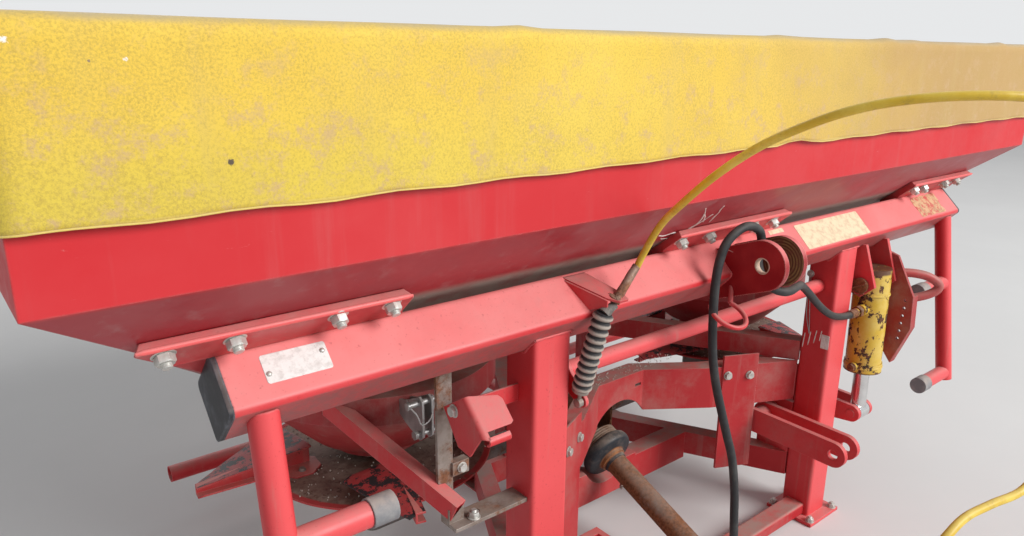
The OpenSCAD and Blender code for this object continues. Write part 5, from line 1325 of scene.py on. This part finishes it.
def make_frayed_wires():
    """Loose wires at the foot of the cable's metal sleeve, thin tubes that curl away from it."""
    rng = np.random.default_rng(11)
    foot = np.array((-452.0, -574, 921))
    shapes = []
    for k in range(9):
        turn = rng.uniform(0, 2 * math.pi)
        out = np.array((math.cos(turn), math.sin(turn), 0.0))
        reach = rng.uniform(7, 17)
        points = [foot + 5 * out, foot + 0.5 * reach * out + (0, 0, 3),
                  foot + reach * out + (0, 0, rng.uniform(-2, 5)),
                  foot + 1.35 * reach * out + (rng.uniform(-3, 3), rng.uniform(-3, 3), rng.uniform(-6, 3))]
        shapes.append(surface(tube_grid(smooth_path(points, 4), 0.0006, 6)))
    add_piece("frayed_wires", joined(shapes), "cable metal")


def make_chain():
    """The thin chain that holds the drive shaft's guard, long links hanging in a curve under the shaft.

    The line from a to b hangs by 0.224 t (1 - t) m at the share t of its way. Each second link is
    turned a quarter round.
    """
    t = np.linspace(0, 1, 19)
    a, b = np.array((0.062, -0.155, 0.262)), np.array((-0.052, -0.262, 0.205))
    line = a + (b - a) * t[:, None]
    line[:, 2] -= 0.16 * t * (1 - t) * 1.4
    angle = np.linspace(0, 2 * math.pi, 20, endpoint=False)
    loop = np.stack([0.0085 * np.cos(angle), 0.0036 * np.sin(angle), 0 * angle], 1)
    link = surface(tube_grid(loop, 0.0011, 6, True), caps=False, loop=True)
    along = np.gradient(line, axis=0)
    along /= np.linalg.norm(along, axis=1)[:, None]
    side = np.cross(along, (0, 0, 1.0))
    side /= np.linalg.norm(side, axis=1)[:, None]
    lift = np.cross(side, along)
    odd = (np.arange(len(t)) % 2 == 1)[:, None]
    first = np.where(odd, lift, side)
    turns = np.stack([along, first, np.cross(along, first)], 2)
    add_piece("guard_chain", copied(link, line, turns), "lever steel", "shaft_body")


def make_cylinder_fittings():
    """The cylinder's weld ring, gland ring, port nut and lower port plug, and the pin heads with a clip in
    its bracket.
    """
    axis = np.array((0.0, -0.010, -0.410))
    axis /= np.linalg.norm(axis)
    top = np.array((0.694, -0.528, 0.730))

    def at(z):
        """The point on the cylinder's line at a height."""
        return top + axis * ((0.730 - z) / -axis[2])

    weld = surface(turned_grid([(0, 0.0505), (0.0015, 0.0525), (0.004, 0.053), (0.0065, 0.0525),
                                (0.008, 0.0505)],
                               at(0.700), axis, 48))
    gland = surface(turned_grid([(0, 0.0535), (0.002, 0.0545), (0.006, 0.0545), (0.007, 0.0535)], at(0.476),
                                axis, 48))
    add_piece("cylinder_rings", joined([weld, gland]), "cylinder paint", "barrel_body")
    nut = surface(turned_grid([(0, 0.0175, 0.0155), (0.014, 0.0175, 0.0155), (0.016, 0.014)],
                              (0.603, -0.537, 0.655), (1, 0, 0), 24))
    add_piece("port_nut", nut, "rusty steel", "barrel_body", 30)
    plug = surface(turned_grid([(-0.001, 0.0128), (0.003, 0.0128), (0.004, 0.0112, 0.0098),
                                (0.011, 0.0112, 0.0098), (0.012, 0.008)],
                               (0.634, -0.532, 0.475), (-1, 0, 0), 24))
    add_piece("lower_port_plug", plug, "rusty steel", "barrel_body", 30)
    head = turned_grid([(-0.001, 0.022), (0.0, 0.023), (0.008, 0.023), (0.010, 0.020), (0.011, 0.008)],
                       (0.626, -0.528, 0.730), (-1, 0, 0), 32)
    far = turned_grid([(-0.001, 0.02), (0.0, 0.021), (0.006, 0.021), (0.008, 0.018)], (0.762, -0.528, 0.730),
                      (1, 0, 0), 32)
    clip = smooth_path([(612, -548, 742), (611, -540, 735), (611, -528, 730), (611, -516, 724),
                        (612, -508, 716),
                        (613, -514, 706), (613, -530, 704), (612, -546, 712)], 5)
    add_piece("cylinder_pin_heads",
              joined([surface(head), surface(far), surface(tube_grid(clip, 0.0018, 10))]),
              "rusty steel", sharp=30)


def make_welds():
    """Weld beads where posts, ears and tubes meet the beam: a tube whose radius ripples along its path."""
    lines = []
    for side in (-1, 1):
        for x in (side * (POST_X - POST_HALF), side * (POST_X + POST_HALF)):
            lines.append([(x, -518, 847.5), (x, -500, 830), (x, -483, 814), (x, -464, 832), (x, -445, 850),
                          (x, -428, 867.5)])
        lines.append([(side * POST_X + dx, -518, 847.5) for dx in (-POST_HALF, 0, POST_HALF)])
        for x in (side * 27, side * 43.5):
            lines.append([(x, -497, 938), (x, -515, 920.5), (x, -536, 899.5), (x, -549, 886),
                          (x, -536, 867.5), (x, -515, 846.5), (x, -500, 831.5)])
    shapes = []
    for line in lines:
        path = smooth_path(line, 9)
        run = np.concatenate([[0], np.cumsum(np.linalg.norm(np.diff(path, axis=0), axis=1))])
        shapes.append(surface(tube_grid(path, 0.0028 + 0.0005 * np.sin(run * 1400), 8)))
    add_piece("weld_beads", joined(shapes), "post red")


def make_granules():
    """Fertiliser granules left on the discs and on the guard band's shelf, each a small rounded grain."""
    theta = np.linspace(0, math.pi, 5)[1:-1]
    phi = np.arange(6) * math.pi / 3
    grid = np.stack([np.sin(theta)[:, None] * np.cos(phi)[None, :],
                     np.sin(theta)[:, None] * np.sin(phi)[None, :],
                     -np.cos(theta)[:, None] + 0 * phi[None, :]], -1)
    grain = surface(grid)
    rng = np.random.default_rng(21)
    for side, name in ((-1, "left"), (1, "right")):
        count = 330
        away = 0.07 + 0.2 * np.sqrt(rng.uniform(0, 1, count))
        turn = rng.uniform(0, 2 * math.pi, count)
        size = rng.uniform(0.0011, 0.0021, count)
        spots = np.stack([side * DISC_X + away * np.cos(turn), away * np.sin(turn), DISC_Z + 0.7 * size], 1)
        scale = size[:, None, None] * np.eye(3)[None]
        add_piece("granules_disc_" + name, copied(grain, spots, scale), "granules", f"disc_{name}_body")
    count = 150
    spots = np.stack([rng.uniform(-235, 235, count), rng.uniform(-190, -140, count), np.full(count, 496.0)],
                     1) / 1000
    # Passes over 420 numbers of the random row, so that the grains keep their sizes
    rng.random(420)
    size = rng.uniform(0.001, 0.0019, count)
    add_piece("granules_frame", copied(grain, spots, size[:, None, None] * np.eye(3)[None]), "granules")


def make_camera():
    """The camera at the photograph's viewing place, from its three directions."""
    camera = bpy.data.objects.new("camera", bpy.data.cameras.new("camera"))
    bpy.context.scene.collection.objects.link(camera)
    camera.matrix_world = Matrix((*zip(*CAMERA_WAYS, CAMERA_PLACE), (0, 0, 0, 1)))
    camera.data.lens = CAMERA_LENS
    camera.data.sensor_width = CAMERA_SENSOR
    camera.data.clip_start = 0.01
    bpy.context.scene.camera = camera


def make_lamp(name, place, aim, watts, size):
    """A square area lamp at a place, turned to its aim."""
    lamp = bpy.data.objects.new(name, bpy.data.lights.new(name, "AREA"))
    lamp.data.energy = watts
    lamp.data.size = size
    lamp.visible_camera = False
    back = np.asarray(place, float) - np.asarray(aim, float)
    back /= np.linalg.norm(back)
    right = np.cross((0, 0, 1), back)
    right /= np.linalg.norm(right)
    up = np.cross(back, right)
    lamp.matrix_world = Matrix((*[(right[k], up[k], back[k], place[k]) for k in range(3)], (0, 0, 0, 1)))
    bpy.context.scene.collection.objects.link(lamp)


def make_stage(settings):
    """The pale floor, the soft world light and the lamps."""
    scene = bpy.context.scene
    scene.view_settings.view_transform = "Standard"
    size = 40.0
    floor = bpy.data.objects.new("floor", bpy.data.meshes.new("floor"))
    floor.data.from_pydata([(-size, -size, -0.001), (size, -size, -0.001), (size, size, -0.001),
                            (-size, size, -0.001)],
                           [], [(0, 1, 2, 3)])
    scene.collection.objects.link(floor)
    f = Finish("floor", 0.8)
    tone = f.mix(f.step(f.noise(1.2, 4), 0.3, 0.7), tuple(settings.floor_colour),
                 tuple(c * 0.965 for c in settings.floor_colour))
    floor.data.materials.append(f.finish(tone, None, f.noise(60, 4), 0.05, 0.001))
    world = bpy.data.worlds.new("soft light")
    scene.world = world
    world.use_nodes = True
    tree = world.node_tree
    background = tree.nodes["Background"]
    background.inputs["Color"].default_value = (0.93, 0.95, 1, 1)
    background.inputs["Strength"].default_value = settings.world_strength
    pale = tree.nodes.new("ShaderNodeBackground")
    pale.inputs["Color"].default_value = (0.80, 0.81, 0.82, 1)
    rays = tree.nodes.new("ShaderNodeLightPath")
    first, both = tree.nodes.new("ShaderNodeMath"), tree.nodes.new("ShaderNodeMath")
    first.operation = both.operation = "MAXIMUM"
    blend = tree.nodes.new("ShaderNodeMixShader")
    tree.links.new(rays.outputs["Is Camera Ray"], first.inputs[0])
    tree.links.new(rays.outputs["Is Glossy Ray"], first.inputs[1])
    tree.links.new(first.outputs[0], both.inputs[0])
    tree.links.new(rays.outputs["Is Transmission Ray"], both.inputs[1])
    tree.links.new(both.outputs[0], blend.inputs[0])
    tree.links.new(background.outputs[0], blend.inputs[1])
    tree.links.new(pale.outputs[0], blend.inputs[2])
    tree.links.new(blend.outputs[0], tree.nodes["World Output"].inputs[0])
    make_lamp("key light", (5.2, -11.6, 8.2), (-0.2, -0.3, 0.7), settings.key_watts, 7.0)
    make_lamp("left light", (-11, -1.5, 8), (0, 0, 0.8), settings.side_watts * 0.4, 6.0)
    make_lamp("back light", (2.4, 11, 8.6), (0, 0, 0.7), settings.side_watts, 6.0)


# Settings

def length(name, text, value):
    """A length setting in metres."""
    return FloatProperty(name=name, description=text, default=value, min=0, unit="LENGTH")


def colour(name, text, value):
    """A colour setting."""
    return FloatVectorProperty(name=name, description=text, default=value, size=3, min=0, max=1,
                               subtype="COLOR")


class SpreaderSizes(bpy.types.PropertyGroup):
    """Sizes of the cords and the cover."""
    hose_radius: length("Hose radius", "Radius of the hydraulic hose", 0.01)
    cable_radius: length("Cable radius", "Radius of the control cable's sheath", 0.007)
    cover_sag: length("Cover sag", "How far the cover dips between two bows", 0.008)


class SpreaderFinish(bpy.types.PropertyGroup):
    """Colours of the paint, the cover and the cable."""
    red: colour("Red paint", "The machine's paint in the shade", RED)
    faded_red: colour("Faded paint", "The paint where it has faded", FADED_RED)
    # Pale paint where it faces the sky: partly sun fading and partly painted highlight
    bleached_red: colour("Bleached paint", "The paint where it faces the sky", PINK)
    cover_colour: colour("Cover", "The cover's cloth", (0.76, 0.51, 0.055))
    cable_colour: colour("Cable", "The control cable's sheath", (0.66, 0.43, 0.03))


class SpreaderStage(bpy.types.PropertyGroup):
    """Floor and light."""
    floor_colour: colour("Floor", "The floor's colour", (0.74, 0.735, 0.72))
    world_strength: FloatProperty(name="World light", description="Strength of the light from all round",
                                  default=0.31, min=0)
    key_watts: FloatProperty(name="Key lamp", description="Power of the lamp in front", default=2300, min=0,
                             unit="POWER")
    side_watts: FloatProperty(name="Side lamps", description="Power of the lamps at the side and behind",
                              default=240, min=0, unit="POWER")


# Operators

class BuildStage(bpy.types.Operator):
    """Makes the floor, the lamps and the camera"""
    bl_idname = "spreader.build_stage"
    bl_label = "Stage and Camera"

    def execute(self, context):
        make_stage(context.scene.spreader_stage)
        make_camera()
        return {"FINISHED"}


class MakeFinishes(bpy.types.Operator):
    """Makes the finishes and gives every part its own"""
    bl_idname = "spreader.make_finishes"
    bl_label = "Paint and Finishes"

    def execute(self, context):
        make_finishes()
        paint_nodes()
        return {"FINISHED"}


class BuildHose(bpy.types.Operator):
    """Makes the hydraulic hose with its ferrule and coupler"""
    bl_idname = "spreader.build_hose"
    bl_label = "Hydraulic Hose"

    def execute(self, context):
        make_hose(context.scene.spreader_sizes.hose_radius)
        return {"FINISHED"}


class BuildCable(bpy.types.Operator):
    """Makes the control cable with its end fitting and frayed wires"""
    bl_idname = "spreader.build_cable"
    bl_label = "Control Cable"

    def execute(self, context):
        make_cable(context.scene.spreader_sizes.cable_radius)
        make_frayed_wires()
        return {"FINISHED"}


class BuildCover(bpy.types.Operator):
    """Makes the cloth cover with its hem"""
    bl_idname = "spreader.build_cover"
    bl_label = "Cover"

    def execute(self, context):
        make_cover(context.scene.spreader_sizes.cover_sag)
        return {"FINISHED"}


class BuildBellows(bpy.types.Operator):
    """Makes the ribbed bellows and its pull rod"""
    bl_idname = "spreader.build_bellows"
    bl_label = "Bellows"

    def execute(self, context):
        make_bellows()
        return {"FINISHED"}


class BuildFormedParts(bpy.types.Operator):
    """Makes the strips with their nuts, the blades, link, holder, loop bar, guard bell and sleeve"""
    bl_idname = "spreader.build_formed_parts"
    bl_label = "Formed Parts"

    def execute(self, context):
        make_strips()
        make_strip_nuts()
        make_vane_blades()
        make_slide_link()
        make_holder()
        make_loop_bar()
        make_bell()
        make_sleeve()
        return {"FINISHED"}


class BuildFixings(bpy.types.Operator):
    """Makes bolts, pin heads, hubs, the chain and the weld beads"""
    bl_idname = "spreader.build_fixings"
    bl_label = "Fixings and Welds"

    def execute(self, context):
        make_bolts()
        make_disc_hubs()
        make_cylinder_fittings()
        make_chain()
        make_welds()
        return {"FINISHED"}


class BuildLabels(bpy.types.Operator):
    """Makes the blank plate and labels, the tilt scale and its pointer"""
    bl_idname = "spreader.build_labels"
    bl_label = "Plates and Scale"

    def execute(self, context):
        make_labels()
        return {"FINISHED"}


class BuildWear(bpy.types.Operator):
    """Makes the scratches and the granules left on the machine"""
    bl_idname = "spreader.build_wear"
    bl_label = "Scratches and Granules"

    def execute(self, context):
        make_scratches()
        make_granules()
        return {"FINISHED"}


OPERATORS = (BuildStage, MakeFinishes, BuildHose, BuildCable, BuildCover, BuildBellows, BuildFormedParts,
             BuildFixings,
             BuildLabels, BuildWear)


class SpreaderPanel(bpy.types.Panel):
    """Lists the spreader's operators and settings"""
    bl_idname = "VIEW3D_PT_spreader"
    bl_label = "Spreader"
    bl_space_type = "VIEW_3D"
    bl_region_type = "UI"
    bl_category = "Spreader"

    def draw(self, context):
        for operator in OPERATORS:
            self.layout.operator(operator.bl_idname)
        for group in (context.scene.spreader_sizes, context.scene.spreader_finish,
                      context.scene.spreader_stage):
            box = self.layout.box()
            for name in group.__annotations__:
                box.prop(group, name)


CLASSES = (SpreaderSizes, SpreaderFinish, SpreaderStage, *OPERATORS, SpreaderPanel)


def register():
    """Adds the classes and the settings."""
    for item in CLASSES:
        bpy.utils.register_class(item)
    bpy.types.Scene.spreader_sizes = PointerProperty(type=SpreaderSizes)
    bpy.types.Scene.spreader_finish = PointerProperty(type=SpreaderFinish)
    bpy.types.Scene.spreader_stage = PointerProperty(type=SpreaderStage)


def unregister():
    """Takes the settings and the classes away."""
    del bpy.types.Scene.spreader_stage
    del bpy.types.Scene.spreader_finish
    del bpy.types.Scene.spreader_sizes
    for item in reversed(CLASSES):
        bpy.utils.unregister_class(item)


def main():
    """Builds the whole scene in order."""
    register()
    bpy.ops.spreader.build_stage()
    bpy.ops.spreader.make_finishes()
    bpy.ops.spreader.build_hose()
    bpy.ops.spreader.build_cable()
    bpy.ops.spreader.build_cover()
    bpy.ops.spreader.build_bellows()
    bpy.ops.spreader.build_formed_parts()
    bpy.ops.spreader.build_fixings()
    bpy.ops.spreader.build_labels()
    bpy.ops.spreader.build_wear()


if __name__ == "__main__":
    main()
